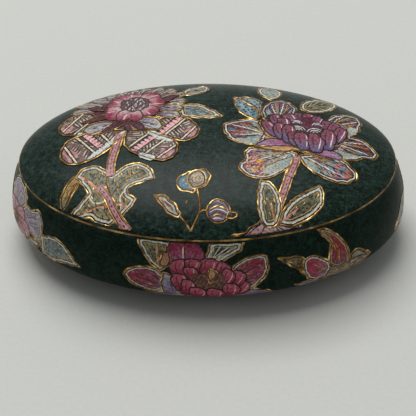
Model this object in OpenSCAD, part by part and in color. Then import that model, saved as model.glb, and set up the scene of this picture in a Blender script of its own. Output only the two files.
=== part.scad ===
// Oval porcelain trinket box with a lift-off domed lid.
// The base is a low bowl that bulges below its rim and stands on a foot ring.
// The lid is a shallow dome with a locating flange that drops inside the base's mouth.
// Millimetres, +Z up, X along the oval. The origin is the centre of the foot ring, on the table.

/* [Plan] */
// Outside length of the oval where the lid meets the base
rim_length = 131; // [110:1:150]
// Width of the oval divided by its length
plan_ratio = 0.65; // [0.55:0.01:0.8]

/* [Base] */
// Height of the base's rim above the table
base_height = 31.4; // [28:0.1:38]
// How far the base bulges past its rim at each end
bulge = 4.65; // [2:0.05:6]
// Height of the widest point of the bulge
widest_height = 12.7; // [10:0.1:15]
// Thickness of the porcelain wall
wall = 3.4; // [2.8:0.1:4]
// Height of the foot ring under the bowl
foot_height = 2.2; // [1.6:0.1:3]
// Outside length of the foot ring
foot_length = 84; // [76:1:90]
// Width of the foot ring's standing face
foot_width = 3; // [2:0.1:4]

/* [Lid] */
// Height of the dome above the base's rim
lid_height = 11.8; // [10:0.1:16]
// Height of the lid's upright edge, which carries the gilt line
edge_height = 0.9; // [0.7:0.1:1.5]
// Depth of the locating flange inside the base's mouth
flange_depth = 4.6; // [3:0.1:6]
// Thickness of the locating flange
flange_thickness = 2.4; // [1.8:0.1:3]
// Gap between the flange and the base's mouth, at the ends of the oval
flange_gap = 0.65; // [0.5:0.05:1]
// Gap left under the lid's seat when it is closed
seat_gap = 0.05; // [0.02:0.01:0.1]

/* [Gilding] */
// How far the gilt line stands out of the lid's edge
gilt_thickness = 0.14; // [0.1:0.01:0.3]
// Height of the gilt line
gilt_height = 0.7; // [0.5:0.1:0.9]

/* [Hidden] */
$fn = 96;

// Half-lengths along X. plan_ratio narrows every one of them along Y.
rim = rim_length / 2;
widest = rim + bulge;
foot = foot_length / 2;
// The mouth's edge stands a little inside the wall's inner face
mouth_lip = 0.6;
mouth = rim - wall - mouth_lip;
flange_outer = mouth - flange_gap;
flange_inner = flange_outer - flange_thickness;

// Inside of the bowl. The mouth's straight part is a little deeper than the flange.
floor_top = foot_height + wall;
floor_edge = foot - 2;
mouth_depth = flange_depth + 2;
inner_widest = widest - wall;

// How rounded the curves are: 2 is an ellipse, and more is squarer
side_arc_share = 0.636;
underside_power = 2.13;
dome_plan_power = 2.85;
dome_height_power = 1.27;

// Points along each half-profile curve
underside_steps = 14;
side_steps = 10;
mouth_steps = 6;
floor_steps = 12;
hollow_steps = 14;
dome_steps = 20;

// Bevels and small steps in the half-profiles
chamfer = 0.5;
rim_bevel = 0.4;
seat_bevel = [0.3, 0.1];
foot_bevel_height = 0.4;
foot_step = [0.8, 0.05];
flange_draft = 0.2;
foot_ledge = 1;

// Heights of the lid. Its crown is a little thinner than the wall.
seat_z = base_height + seat_gap;
lid_top = base_height + lid_height;
hollow_top = lid_top - wall + 0.4;

// How far the foot ring is drawn below the table before it is trimmed flat
cut_depth = 5;

// Points from the foot out to the widest point, along a quarter of a superellipse
function underside(edge, low, wide, steps) = [
    for (i = [0 : steps - 1])
        let (a = 90 * i / steps)
        let (t = pow(cos(a), 2 / underside_power), u = pow(sin(a), 2 / underside_power))
        [edge + (wide - edge) * u, widest_height - (widest_height - low) * t]
];

// Points from the widest point up to a top edge, along part of an arc
function side(wide, top_r, top_z, steps) = [
    for (i = [0 : steps])
        let (t = i / steps, full = sqrt(1 - pow(side_arc_share, 2)))
        [top_r + (wide - top_r) * (sqrt(1 - pow(t * side_arc_share, 2)) - full) / (1 - full),
         widest_height + (top_z - widest_height) * t]
];

// Points of a dome from its edge to its crown
function dome(edge_r, edge_z, crown_z, steps) = [
    for (i = [0 : steps])
        let (share = cos(90 * i / steps))
        [edge_r * share,
         edge_z + (crown_z - edge_z) * pow(1 - pow(share, dome_plan_power), 1 / dome_height_power)]
];

// The same points in the opposite order
function reversed(points) = [for (i = [len(points) - 1 : -1 : 0]) points[i]];

// Turns a half-profile about Z, a quarter turn at a time, and narrows it to the oval
module oval_turn() {
    for (quarter = [0 : 3])
        scale([1, plan_ratio, 1])
            rotate([0, 0, 90 * quarter])
                rotate_extrude(angle = 90)
                    children();
}

// Half-profile of the bowl, with the foot ring drawn through the table for trimming
module base_profile() {
    foot_inside = foot - foot_width;
    polygon(concat(
        [[0, foot_height],
         [foot_inside - foot_ledge, foot_height],
         [foot_inside, -cut_depth],
         [foot - chamfer, -cut_depth],
         [foot - chamfer, foot_bevel_height],
         [foot, foot_height]],
        underside(foot + foot_step[0], foot_height + foot_step[1], widest, underside_steps),
        side(widest, rim, base_height - rim_bevel, side_steps),
        [[rim - rim_bevel, base_height],
         [mouth + chamfer, base_height],
         [mouth, base_height - chamfer]],
        reversed(side(inner_widest, mouth, base_height - mouth_depth, mouth_steps)),
        reversed(underside(floor_edge, floor_top, inner_widest, floor_steps)),
        [[0, floor_top]]
    ));
}

// The bowl, trimmed at the table so that the foot ring has a flat standing face
module base_body() {
    color("darkslategray")
        difference() {
            oval_turn() base_profile();
            translate([-rim, -rim, -2 * cut_depth])
                cube([rim_length, rim_length, 2 * cut_depth]);
        }
}

// Half-profile of the lid's shell and its locating flange
module lid_profile() {
    flange_low = base_height - flange_depth;
    polygon(concat(
        [[0, hollow_top]],
        reversed(dome(flange_inner, seat_z, hollow_top, hollow_steps)),
        [[flange_inner + flange_draft, flange_low + chamfer],
         [flange_inner + chamfer, flange_low],
         [flange_outer - chamfer, flange_low],
         [flange_outer, flange_low + chamfer],
         [flange_outer, seat_z],
         [rim - seat_bevel[0], seat_z],
         [rim, seat_z + seat_bevel[1]]],
        dome(rim, base_height + edge_height, lid_top, dome_steps)
    ));
}

// The domed lid
module lid_body() {
    color("darkslategray")
        oval_turn() lid_profile();
}

// The fired gold line round the lid's upright edge
module lid_gilt_line() {
    color("goldenrod")
        oval_turn()
            translate([rim, seat_z + seat_bevel[1]])
                square([gilt_thickness, gilt_height]);
}

base_body();
lid_body();
lid_gilt_line();
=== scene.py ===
"""Oval porcelain trinket box: glaze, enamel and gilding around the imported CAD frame.

Lengths in this script are millimetres. The mesh makers turn them into metres.
The front of the box faces -Y, and +X is on the right.
"""
import math
import random

import bmesh
import bpy
import numpy as np
from mathutils import Matrix, Vector
from mathutils.geometry import delaunay_2d_cdt


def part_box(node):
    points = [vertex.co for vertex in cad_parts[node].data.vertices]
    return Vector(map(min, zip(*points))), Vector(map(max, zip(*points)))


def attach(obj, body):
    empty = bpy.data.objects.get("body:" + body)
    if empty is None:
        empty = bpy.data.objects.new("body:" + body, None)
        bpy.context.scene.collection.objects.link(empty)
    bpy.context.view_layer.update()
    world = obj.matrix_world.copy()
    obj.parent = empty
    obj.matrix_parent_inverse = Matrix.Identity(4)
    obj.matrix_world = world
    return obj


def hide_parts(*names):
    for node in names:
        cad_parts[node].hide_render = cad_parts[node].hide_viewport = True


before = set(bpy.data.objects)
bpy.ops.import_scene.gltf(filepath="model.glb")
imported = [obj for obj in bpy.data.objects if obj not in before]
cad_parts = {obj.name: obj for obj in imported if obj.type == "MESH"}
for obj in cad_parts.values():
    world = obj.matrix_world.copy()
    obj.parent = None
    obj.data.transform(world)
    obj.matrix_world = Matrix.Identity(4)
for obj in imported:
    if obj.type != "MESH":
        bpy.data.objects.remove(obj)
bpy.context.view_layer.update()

MM = 0.001
NEVER_ZERO = 1e-9    # keeps divisions by a length finite

# ---------------------------------------------------------------- the frame's dimensions
base_high = np.array(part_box("base_body")[1]) / MM
lid_low, lid_high = [np.array(corner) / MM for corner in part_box("lid_body")]
RIM = lid_high[0]                    # half-length of the rim where lid and base meet
RATIO = lid_high[1] / lid_high[0]    # width of the oval over its length
PAINT = 0.45                         # depth left for enamel and gold, so that they stay in the CAD box
WIDEST = base_high[0] - PAINT        # half-length of the bulge
BASE_TOP = base_high[2]
LID_TOP = lid_high[2] - PAINT
FLANGE_LOW = lid_low[2]              # bottom of the flange that drops into the base

# Shape values that the frame's boxes don't give, as in part.scad
WIDEST_Z = 12.7
FOOT = 42.0
FOOT_HEIGHT = 2.2
FOOT_WIDTH = 3.0
WALL = 3.4
MOUTH = RIM - WALL - 0.6
FLANGE_OUTER = MOUTH - 0.65
FLANGE_INNER = FLANGE_OUTER - 2.4
EDGE_HEIGHT = 0.9
SEAT_GAP = 0.05
SIDE_ARC_SHARE = 0.636
UNDERSIDE_POWER = 2.13
DOME_PLAN_POWER = 2.85
DOME_HEIGHT_POWER = 1.27


# ---------------------------------------------------------------- profiles of the two shells
def side_profile(wide, top_r, top_z, steps):
    """From the widest point up to the rim, as (radius, height) pairs."""
    full = math.sqrt(1 - SIDE_ARC_SHARE ** 2)
    points = []
    for i in range(steps + 1):
        share = i / steps
        swell = (math.sqrt(1 - (share * SIDE_ARC_SHARE) ** 2) - full) / (1 - full)
        points.append((top_r + (wide - top_r) * swell, WIDEST_Z + (top_z - WIDEST_Z) * share))
    return points


def underside_profile(edge, low, wide, steps):
    """From the foot out and up to the widest point."""
    points = []
    for i in range(steps):
        angle = math.pi / 2 * i / steps
        up = math.cos(angle) ** (2 / UNDERSIDE_POWER)
        out = math.sin(angle) ** (2 / UNDERSIDE_POWER)
        points.append((edge + (wide - edge) * out, WIDEST_Z - (WIDEST_Z - low) * up))
    return points


def dome_profile(edge_r, edge_z, crown_z, steps):
    """From the edge in to the crown."""
    points = []
    for i in range(steps + 1):
        share = math.cos(math.pi / 2 * i / steps)
        rise = (1 - share ** DOME_PLAN_POWER) ** (1 / DOME_HEIGHT_POWER)
        points.append((edge_r * share, edge_z + (crown_z - edge_z) * rise))
    return points


# ---------------------------------------------------------------- node materials
def srgb(red, green, blue):
    """A linear colour from sRGB values of 0 to 255."""
    return tuple((c / 255 / 12.92) if c <= 10 else ((c / 255 + 0.055) / 1.055) ** 2.4
                 for c in (red, green, blue))


def feed(tree, value, socket):
    """Gives a socket another node's output, a colour or a number."""
    if isinstance(value, bpy.types.NodeSocket):
        tree.links.new(value, socket)
    elif isinstance(value, tuple):
        socket.default_value = (*value, 1)
    else:
        socket.default_value = value


class Nodes:
    """A small helper that writes one material's node tree."""

    def __init__(self, name):
        self.material = bpy.data.materials.new(name)
        self.material.use_nodes = True
        self.tree = self.material.node_tree
        self.tree.nodes.clear()
        self.output = self.tree.nodes.new("ShaderNodeOutputMaterial")
        self.shader = self.add("ShaderNodeBsdfPrincipled")
        self.link(self.shader.outputs["BSDF"], self.output.inputs["Surface"])
        self.place = self.add("ShaderNodeTexCoord").outputs["Object"]

    def add(self, kind, **settings):
        node = self.tree.nodes.new(kind)
        for key, value in settings.items():
            if key in node.inputs:
                node.inputs[key].default_value = value
            else:
                setattr(node, key, value)
        return node

    def link(self, source, target):
        self.tree.links.new(source, target)

    def noise(self, scale, detail=4.0, rough=0.55, stretch=None, twist=0.0):
        """Noise with its scale in features per metre, stretched along the object's axes."""
        node = self.add("ShaderNodeTexNoise", Scale=scale, Detail=detail, Roughness=rough, Distortion=twist)
        place = self.place
        if stretch:
            mapping = self.add("ShaderNodeMapping", Scale=stretch[0], Rotation=stretch[1])
            self.link(self.place, mapping.inputs["Vector"])
            place = mapping.outputs["Vector"]
        self.link(place, node.inputs["Vector"])
        return node.outputs["Fac"]

    def ramp(self, source, *stops):
        """Turns a value into colours: each stop is (position, colour)."""
        node = self.add("ShaderNodeValToRGB")
        elements = node.color_ramp.elements
        while len(elements) < len(stops):
            elements.new(0.5)
        for element, (position, colour) in zip(elements, stops):
            element.position = position
            element.color = (*colour, 1)
        self.link(source, node.inputs["Fac"])
        return node.outputs["Color"]

    def span(self, source, low, high, to_low=0.0, to_high=1.0):
        """Maps a value's range onto another."""
        node = self.add("ShaderNodeMapRange")
        for key, value in zip(("From Min", "From Max", "To Min", "To Max"), (low, high, to_low, to_high)):
            node.inputs[key].default_value = value
        self.link(source, node.inputs["Value"])
        return node.outputs["Result"]

    def blend(self, amount, first, second, mode="MIX"):
        """Mixes two colours. amount is a number or a socket."""
        node = self.add("ShaderNodeMix", data_type="RGBA", blend_type=mode)
        for socket, value in ((node.inputs[0], amount), (node.inputs[6], first), (node.inputs[7], second)):
            feed(self.tree, value, socket)
        return node.outputs[2]

    def bump(self, source, strength, depth):
        """Relief from a value, depth in millimetres."""
        node = self.add("ShaderNodeBump", Strength=strength, Distance=depth * MM)
        self.link(source, node.inputs["Height"])
        self.link(node.outputs["Normal"], self.shader.inputs["Normal"])

    def set(self, **values):
        for key, value in values.items():
            feed(self.tree, value, self.shader.inputs[key.replace("_", " ")])


def green_glaze():
    """Dark green ground, brushed on in fine dabs under a satin glaze, with painted shade below the rim."""
    n = Nodes("green_glaze")
    cloud = n.noise(60, 3)
    drift = n.noise(130, 5, 0.7, twist=1.6)
    dabs = n.noise(560, 6, 0.72, twist=0.8)
    hairs = n.noise(1000, 4, 0.75, stretch=((0.4, 1.6, 1.0), (0.0, 0.0, 0.7)))
    crossed = n.noise(1000, 4, 0.75, stretch=((1.6, 0.4, 1.0), (0.0, 0.0, 0.5)))
    ground = n.ramp(dabs, (0.36, srgb(4, 11, 8)), (0.50, srgb(17, 34, 27)), (0.62, srgb(46, 68, 59)))
    streaked = n.blend(n.span(hairs, 0.50, 0.64, 0.0, 0.5), ground, srgb(62, 82, 73))
    brushed = n.blend(n.span(crossed, 0.50, 0.36, 0.0, 0.75), streaked, srgb(5, 13, 10))
    clouded = n.blend(n.span(cloud, 0.40, 0.7, 0.0, 0.45), brushed, srgb(12, 28, 21))
    drifted = n.blend(n.span(drift, 0.50, 0.68, 0.0, 0.5), clouded, srgb(50, 66, 59))
    height = n.add("ShaderNodeSeparateXYZ")
    n.link(n.place, height.inputs["Vector"])
    # Painted shade: below the rim the ground is mixed up to halfway towards a dark green, and its specular
    # level drops from 0.11 to 0.04.
    painted_shade_below_rim = n.span(height.outputs["Z"], (BASE_TOP + 1) * MM, (BASE_TOP - 2) * MM, 0.0, 0.5)
    n.set(Base_Color=n.blend(painted_shade_below_rim, drifted, srgb(3, 26, 17)),
          Roughness=n.span(dabs, 0.3, 0.7, 0.22, 0.42),
          Specular_IOR_Level=n.span(painted_shade_below_rim, 0.0, 0.5, 0.11, 0.04), IOR=1.5)
    n.bump(dabs, 0.6, 0.07)
    return n.material


def white_glaze():
    """Ivory porcelain glaze inside the box, with a few iron specks."""
    n = Nodes("white_glaze")
    tone = n.ramp(n.noise(60, 3), (0.3, srgb(214, 212, 198)), (0.7, srgb(232, 230, 219)))
    specks = n.span(n.noise(1500, 1), 0.74, 0.78, 0.0, 0.7)
    n.set(Base_Color=n.blend(specks, tone, srgb(120, 104, 80)), Roughness=0.14, IOR=1.5)
    n.bump(n.noise(240, 2), 0.2, 0.05)
    return n.material


def biscuit():
    """Bare fired porcelain where the box stands and where lid and base rub."""
    n = Nodes("biscuit")
    grain = n.noise(2600, 5, 0.7)
    tone = n.ramp(grain, (0.35, srgb(188, 178, 158)), (0.65, srgb(222, 216, 202)))
    n.set(Base_Color=n.blend(n.span(n.noise(120, 3), 0.5, 0.75, 0.0, 0.5), tone, srgb(168, 152, 126)),
          Roughness=0.85)
    n.bump(grain, 0.5, 0.05)
    return n.material


def enamel():
    """Overglaze enamel: each piece's own tints, brushed unevenly, with a soft gloss."""
    n = Nodes("enamel")
    tint = n.add("ShaderNodeVertexColor", layer_name="Tint").outputs["Color"]
    brush = n.noise(1200, 4, 0.7, twist=0.5)
    pale = n.blend(n.span(brush, 0.55, 0.75, 0.0, 0.22), tint, srgb(236, 232, 224), "SCREEN")
    deep = n.blend(n.span(brush, 0.52, 0.34, 0.0, 0.75), pale, srgb(128, 100, 92), "MULTIPLY")
    n.set(Base_Color=deep, Roughness=n.span(brush, 0.2, 0.8, 0.42, 0.28), Specular_IOR_Level=0.2, IOR=1.5)
    n.bump(brush, 0.35, 0.03)
    return n.material


def gold():
    """Fired liquid gold, brighter on the crown of a line and brown where it is thin."""
    n = Nodes("gold")
    worn = n.noise(300, 3, 0.5)
    tone = n.ramp(worn, (0.38, srgb(92, 64, 32)), (0.54, srgb(152, 114, 60)), (0.66, srgb(236, 200, 124)))
    n.set(Base_Color=tone, Metallic=1.0, Roughness=n.span(worn, 0.3, 0.7, 0.48, 0.32))
    n.bump(worn, 0.4, 0.03)
    return n.material


def rim_gold():
    """The gilt line round the lid's edge, rubbed thin and brown by handling."""
    n = Nodes("rim_gold")
    worn = n.noise(240, 4, 0.6)
    tone = n.ramp(worn, (0.36, srgb(84, 62, 34)), (0.52, srgb(132, 102, 58)), (0.66, srgb(184, 150, 92)))
    n.set(Base_Color=tone, Metallic=1.0, Roughness=n.span(worn, 0.3, 0.7, 0.55, 0.4))
    n.bump(worn, 0.4, 0.03)
    return n.material


def pale_floor():
    """Pale matt paper under the box."""
    n = Nodes("pale_floor")
    tone = n.ramp(n.noise(700, 2), (0.3, srgb(204, 205, 199)), (0.7, srgb(208, 209, 203)))
    n.set(Base_Color=tone, Roughness=0.75)
    n.bump(n.noise(900, 3), 0.08, 0.05)
    return n.material


MATERIALS = {make.__name__: make()
             for make in (green_glaze, white_glaze, biscuit, enamel, gold, rim_gold, pale_floor)}


# ---------------------------------------------------------------- mesh makers
def make_piece(name, points, faces, materials, face_materials=None, tints=None):
    """A mesh object from points in millimetres."""
    mesh = bpy.data.meshes.new(name)
    mesh.from_pydata((np.asarray(points) * MM).tolist(), [], faces)
    if face_materials is not None:
        mesh.polygons.foreach_set("material_index", face_materials)
    if tints is not None:
        layer = mesh.color_attributes.new("Tint", "FLOAT_COLOR", "POINT")
        layer.data.foreach_set("color", np.c_[tints, np.ones(len(tints))].ravel())
    mesh.validate()
    mesh.shade_smooth()
    piece = bpy.data.objects.new(name, mesh)
    bpy.context.scene.collection.objects.link(piece)
    for material in materials:
        mesh.materials.append(MATERIALS[material])
    return piece


SEGMENTS = 384   # facets round a shell
TINY = 1e-6      # points nearer than this are one point
MIDDLE = 20.0    # radius of the ring of points in each flat floor


def oval_shell(name, zones):
    """Turns a closed profile around Z into an oval shell.

    zones is a list of (material, points): each zone runs on from the last one's end.
    """
    profile, bands, materials = [], [], []
    for material, points in zones:
        if material not in materials:
            materials.append(material)
        profile += points
        bands += [materials.index(material)] * len(points)
    angles = np.linspace(0, 2 * math.pi, SEGMENTS, endpoint=False)
    rings = [np.c_[r * np.cos(angles), r * RATIO * np.sin(angles), np.full(SEGMENTS, z)] for r, z in profile]
    points = np.concatenate(rings)
    faces, face_materials = [], []
    for ring in range(len(profile) - 1):
        if abs(profile[ring][0] - profile[ring + 1][0]) + abs(profile[ring][1] - profile[ring + 1][1]) < TINY:
            continue
        for i in range(SEGMENTS):
            j = (i + 1) % SEGMENTS
            a, b = ring * SEGMENTS, (ring + 1) * SEGMENTS
            faces.append((a + i, a + j, b + j, b + i))
            face_materials.append(bands[ring + 1])
    piece = make_piece(name, points, faces, materials, face_materials)
    merge_poles(piece)
    return piece


def merge_poles(piece):
    """Welds the rings that have no radius into single points."""
    work = bmesh.new()
    work.from_mesh(piece.data)
    bmesh.ops.remove_doubles(work, verts=work.verts, dist=1e-6)
    bmesh.ops.recalc_face_normals(work, faces=work.faces)
    work.to_mesh(piece.data)
    work.free()
    piece.data.shade_smooth()


def base_shell():
    """The glazed bowl with its foot ring, white inside and bare under the foot."""
    seat_round = [(RIM - 0.02, BASE_TOP - 0.3), (RIM - 0.12, BASE_TOP - 0.1), (RIM - 0.4, BASE_TOP)]
    outer = underside_profile(FOOT + 0.8, FOOT_HEIGHT + 0.05, WIDEST, 40)
    outer += side_profile(WIDEST, RIM, BASE_TOP - 0.4, 40) + seat_round
    mouth_z = BASE_TOP - 6.6
    floor_z = FOOT_HEIGHT + WALL
    inner = side_profile(WIDEST - WALL, MOUTH, mouth_z, 24)[::-1]
    inner += underside_profile(FOOT - 2, floor_z, WIDEST - WALL, 40)[::-1]
    inner += [(MIDDLE, floor_z), (0.0, floor_z)]
    inner_foot = FOOT - FOOT_WIDTH
    under = [(0.0, FOOT_HEIGHT), (MIDDLE, FOOT_HEIGHT), (inner_foot - 1, FOOT_HEIGHT),
             (inner_foot - 0.3, FOOT_HEIGHT - 0.5)]
    foot = [(inner_foot, 0.5), (inner_foot + 0.5, 0.05), (inner_foot + 0.9, 0.0), (FOOT - 0.9, 0.0),
            (FOOT - 0.5, 0.1), (FOOT - 0.15, 0.8)]
    seat = [(RIM - 0.7, BASE_TOP), (MOUTH + 0.5, BASE_TOP), (MOUTH + 0.15, BASE_TOP - 0.15)]
    zones = [("white_glaze", under), ("biscuit", foot), ("green_glaze", outer), ("biscuit", seat),
             ("white_glaze", [(MOUTH, BASE_TOP - 0.5)] + inner)]
    piece = oval_shell("base_shell", zones)
    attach(piece, "base")
    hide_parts("base_body")
    return piece


def lid_shell():
    """The glazed dome, bare on its seat and flange and white inside."""
    seat_z = BASE_TOP + SEAT_GAP
    dome = [(RIM - 0.3, seat_z), (RIM - 0.1, seat_z + 0.03), (RIM, seat_z + 0.15)]
    dome += dome_profile(RIM, BASE_TOP + EDGE_HEIGHT, LID_TOP, 90)
    crown_inside = LID_TOP - WALL + 0.4
    inner = dome_profile(FLANGE_INNER, seat_z, crown_inside, 50)[::-1]
    flange = [(FLANGE_INNER + 0.1, FLANGE_LOW + 0.7), (FLANGE_INNER + 0.3, FLANGE_LOW + 0.2),
              (FLANGE_INNER + 0.7, FLANGE_LOW), (FLANGE_OUTER - 0.7, FLANGE_LOW),
              (FLANGE_OUTER - 0.2, FLANGE_LOW + 0.2), (FLANGE_OUTER, FLANGE_LOW + 0.7),
              (FLANGE_OUTER, seat_z - 0.2), (FLANGE_OUTER + 0.2, seat_z)]
    zones = [("white_glaze", inner), ("biscuit", flange), ("green_glaze", dome)]
    piece = oval_shell("lid_shell", zones)
    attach(piece, "lid")
    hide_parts("lid_body")
    return piece


def gilt_edge():
    """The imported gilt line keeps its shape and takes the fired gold."""
    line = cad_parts["lid_gilt_line"]
    line.data.materials.clear()
    line.data.materials.append(MATERIALS["rim_gold"])


# ---------------------------------------------------------------- surfaces to paint on
def lid_surface(points):
    """Plan positions (right, back) on the dome."""
    x, y = points[:, 0], points[:, 1]
    share = np.clip(np.hypot(x / RIM, y / RIM / RATIO), 0, 1)
    rise = (1 - share ** DOME_PLAN_POWER) ** (1 / DOME_HEIGHT_POWER)
    edge_z = BASE_TOP + EDGE_HEIGHT
    return np.c_[x, y, edge_z + (LID_TOP - edge_z) * rise]


HALF_STEPS = 2000    # steps in each half of the girth table


def side_tables():
    """The base's girth and its side profile, each against arc length."""
    angles = np.linspace(-1.5 * math.pi, 0.5 * math.pi, 2 * HALF_STEPS + 1)
    steps = np.hypot(WIDEST * np.diff(np.cos(angles)), WIDEST * RATIO * np.diff(np.sin(angles)))
    girth = np.concatenate([[0], np.cumsum(steps)])
    girth -= girth[HALF_STEPS]
    under = underside_profile(FOOT + 0.8, FOOT_HEIGHT + 0.05, WIDEST, 200)
    profile = np.array(under + side_profile(WIDEST, RIM, BASE_TOP - 0.4, 200))
    mean_scale = (1 + RATIO) / 2
    climb = np.hypot(mean_scale * np.diff(profile[:, 0]), np.diff(profile[:, 1]))
    rise = np.concatenate([[0], np.cumsum(climb)])
    rise -= rise[len(under)]
    return angles, girth, profile, rise


ANGLES, GIRTH, SIDE, SIDE_RISE = side_tables()
HALF_GIRTH = GIRTH[-1]


def base_surface(points):
    """Positions (along the girth from the front, up from the widest line) on the base's side."""
    around = (points[:, 0] - GIRTH[0]) % (GIRTH[-1] - GIRTH[0]) + GIRTH[0]
    angle = np.interp(around, GIRTH, ANGLES)
    radius = np.interp(points[:, 1], SIDE_RISE, SIDE[:, 0])
    height = np.interp(points[:, 1], SIDE_RISE, SIDE[:, 1])
    return np.c_[radius * np.cos(angle), radius * RATIO * np.sin(angle), height]


PAINTED_SHARE = 0.988    # the paint reaches this share of the way out to the rim


def lid_limit(points):
    """Pulls plan positions back inside the gilt edge."""
    share = np.hypot(points[:, 0] / RIM, points[:, 1] / RIM / RATIO)
    return points / np.maximum(1, share / PAINTED_SHARE)[:, None]


def base_limit(points):
    """Keeps positions between the foot and the rim."""
    return np.c_[points[:, 0], np.clip(points[:, 1], SIDE_RISE[0] + 0.5, SIDE_RISE[-1] - 0.25)]


def raised(surface, points, lift):
    """Points on a surface, lifted along its normal."""
    small = 0.02
    place = surface(points)
    across = surface(points + (small, 0)) - surface(points - (small, 0))
    along = surface(points + (0, small)) - surface(points - (0, small))
    normal = np.cross(across, along)
    normal /= np.linalg.norm(normal, axis=1, keepdims=True) + 1e-12
    return place + normal * np.reshape(lift, (-1, 1))


# ---------------------------------------------------------------- lines and outlines in the plane
def smooth(points, closed=False, spacing=0.5):
    """A smooth curve through points. A point with a third value is a sharp corner."""
    corner = [len(p) > 2 for p in points]
    knots = np.array([p[:2] for p in points], float)
    count = len(knots)
    curve = []
    for i in range(count if closed else count - 1):
        j = (i + 1) % count
        before = knots[i - 1] if (closed or i > 0) and not corner[i] else knots[i]
        after = knots[(j + 1) % count] if (closed or j + 1 < count) and not corner[j] else knots[j]
        start, end = knots[i], knots[j]
        leave, arrive = (end - before) * 0.5, (after - start) * 0.5
        number = max(2, int(np.linalg.norm(end - start) / spacing) + 1)
        t = np.linspace(0, 1, number, endpoint=False)[:, None]
        curve.append((2 * t ** 3 - 3 * t ** 2 + 1) * start + (t ** 3 - 2 * t ** 2 + t) * leave
                     + (3 * t ** 2 - 2 * t ** 3) * end + (t ** 3 - t ** 2) * arrive)
    if not closed:
        curve.append(knots[-1:])
    return np.concatenate(curve)


def inside(loop, points):
    """Whether each point lies inside a closed outline."""
    x, y = points[:, 0, None], points[:, 1, None]
    ax, ay = loop[:, 0], loop[:, 1]
    bx, by = np.roll(ax, -1), np.roll(ay, -1)
    crosses = (ay > y) != (by > y)
    reach = (bx - ax) * (y - ay) / np.where(by == ay, NEVER_ZERO, by - ay) + ax
    return (crosses & (x < reach)).sum(1) % 2 == 1


def depth(loop, points):
    """Distance from each point to a closed outline."""
    start, end = loop, np.roll(loop, -1, axis=0)
    edge = end - start
    offset = points[:, None, :] - start
    share = np.clip((offset * edge).sum(2) / ((edge ** 2).sum(1) + NEVER_ZERO), 0, 1)
    return np.sqrt((((offset - share[..., None] * edge) ** 2).sum(2)).min(1))


def staggered(loop, spacing):
    """Points in staggered rows over a loop's bounding box."""
    low, high = loop.min(0), loop.max(0)
    rows = np.arange(low[1], high[1], spacing * 0.87)
    points = [(x, y) for k, y in enumerate(rows)
              for x in np.arange(low[0] + (k % 2) * spacing / 2, high[0], spacing)]
    return np.array(points).reshape(-1, 2)


def within(loop, points, margin):
    """The points that lie inside a loop and further than margin from it."""
    points = points[inside(loop, points)]
    return points[depth(loop, points) > margin] if len(points) else points


def inset(loop, distance):
    """The outline moved inwards, without the places where it would cross itself."""
    ahead, behind = np.roll(loop, -1, axis=0), np.roll(loop, 1, axis=0)
    run = ahead - behind
    normal = np.c_[-run[:, 1], run[:, 0]] / (np.linalg.norm(run, axis=1, keepdims=True) + NEVER_ZERO)
    area = (loop[:, 0] * ahead[:, 1] - ahead[:, 0] * loop[:, 1]).sum()
    moved = loop + normal * distance * (1 if area > 0 else -1)
    keep = (depth(loop, moved) > distance * 0.93) & inside(loop, moved)
    return moved[keep]


def ripple(points, size, seed):
    """Smooth waves between about -1 and 1, with features of the given size."""
    rng = np.random.default_rng(seed)
    total = np.zeros(len(points))
    for _ in range(7):
        direction, phase = rng.uniform(0, 2 * math.pi, 2)
        pitch = size * rng.uniform(0.7, 1.6)
        swing = points[:, 0] * math.cos(direction) + points[:, 1] * math.sin(direction)
        total += np.sin(swing / pitch * 2 * math.pi + phase)
    return total / 3.5


def shaken(path, sway, seed):
    """The path as an unsteady hand would draw it, off by up to sway."""
    return path + sway * np.c_[ripple(path, 3.2, seed), ripple(path, 3.2, seed + 1)]


def turned(points, centre, degrees):
    """Points given about the origin with +Y outward, turned so that +Y points at an angle."""
    angle = math.radians(degrees - 90)
    out = []
    for p in points:
        x = centre[0] + p[0] * math.cos(angle) - p[1] * math.sin(angle)
        y = centre[1] + p[0] * math.sin(angle) + p[1] * math.cos(angle)
        out.append((x, y, *p[2:]))
    return out


def direction(degrees):
    """The unit vector at an angle."""
    angle = math.radians(degrees)
    return np.array([math.cos(angle), math.sin(angle)])


def quarter_turn(way):
    """A direction turned a quarter to the left."""
    return np.array([-way[1], way[0]])


def heading(foot, tip):
    """The angle from one point to another, in degrees."""
    return math.degrees(math.atan2(tip[1] - foot[1], tip[0] - foot[0]))


# ---------------------------------------------------------------- colours of the painting
INK = srgb(36, 20, 18)
PURPLE_INK = srgb(72, 48, 76)
CREAM = srgb(232, 222, 190)
WHITE = srgb(220, 220, 204)
PALE_BLUE = srgb(176, 196, 192)
SKY = srgb(84, 156, 178)
ROSE = srgb(222, 142, 156)
CRIMSON = srgb(156, 22, 58)
MAROON = srgb(92, 30, 46)
BLUSH = srgb(240, 182, 184)
TAUPE = srgb(134, 114, 98)
MAUVE = srgb(122, 102, 102)
LILAC = srgb(158, 140, 184)
BROWN_INK = srgb(74, 44, 32)
PEACH = srgb(222, 164, 112)
OCHRE = srgb(186, 132, 62)
CELADON = srgb(158, 164, 134)
SAGE = srgb(112, 116, 88)
OLIVE = srgb(78, 80, 56)


BODY = 0.66      # what firing leaves of a washed colour's brightness
EDGE = 0.86      # the same for the pale band round a petal


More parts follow.
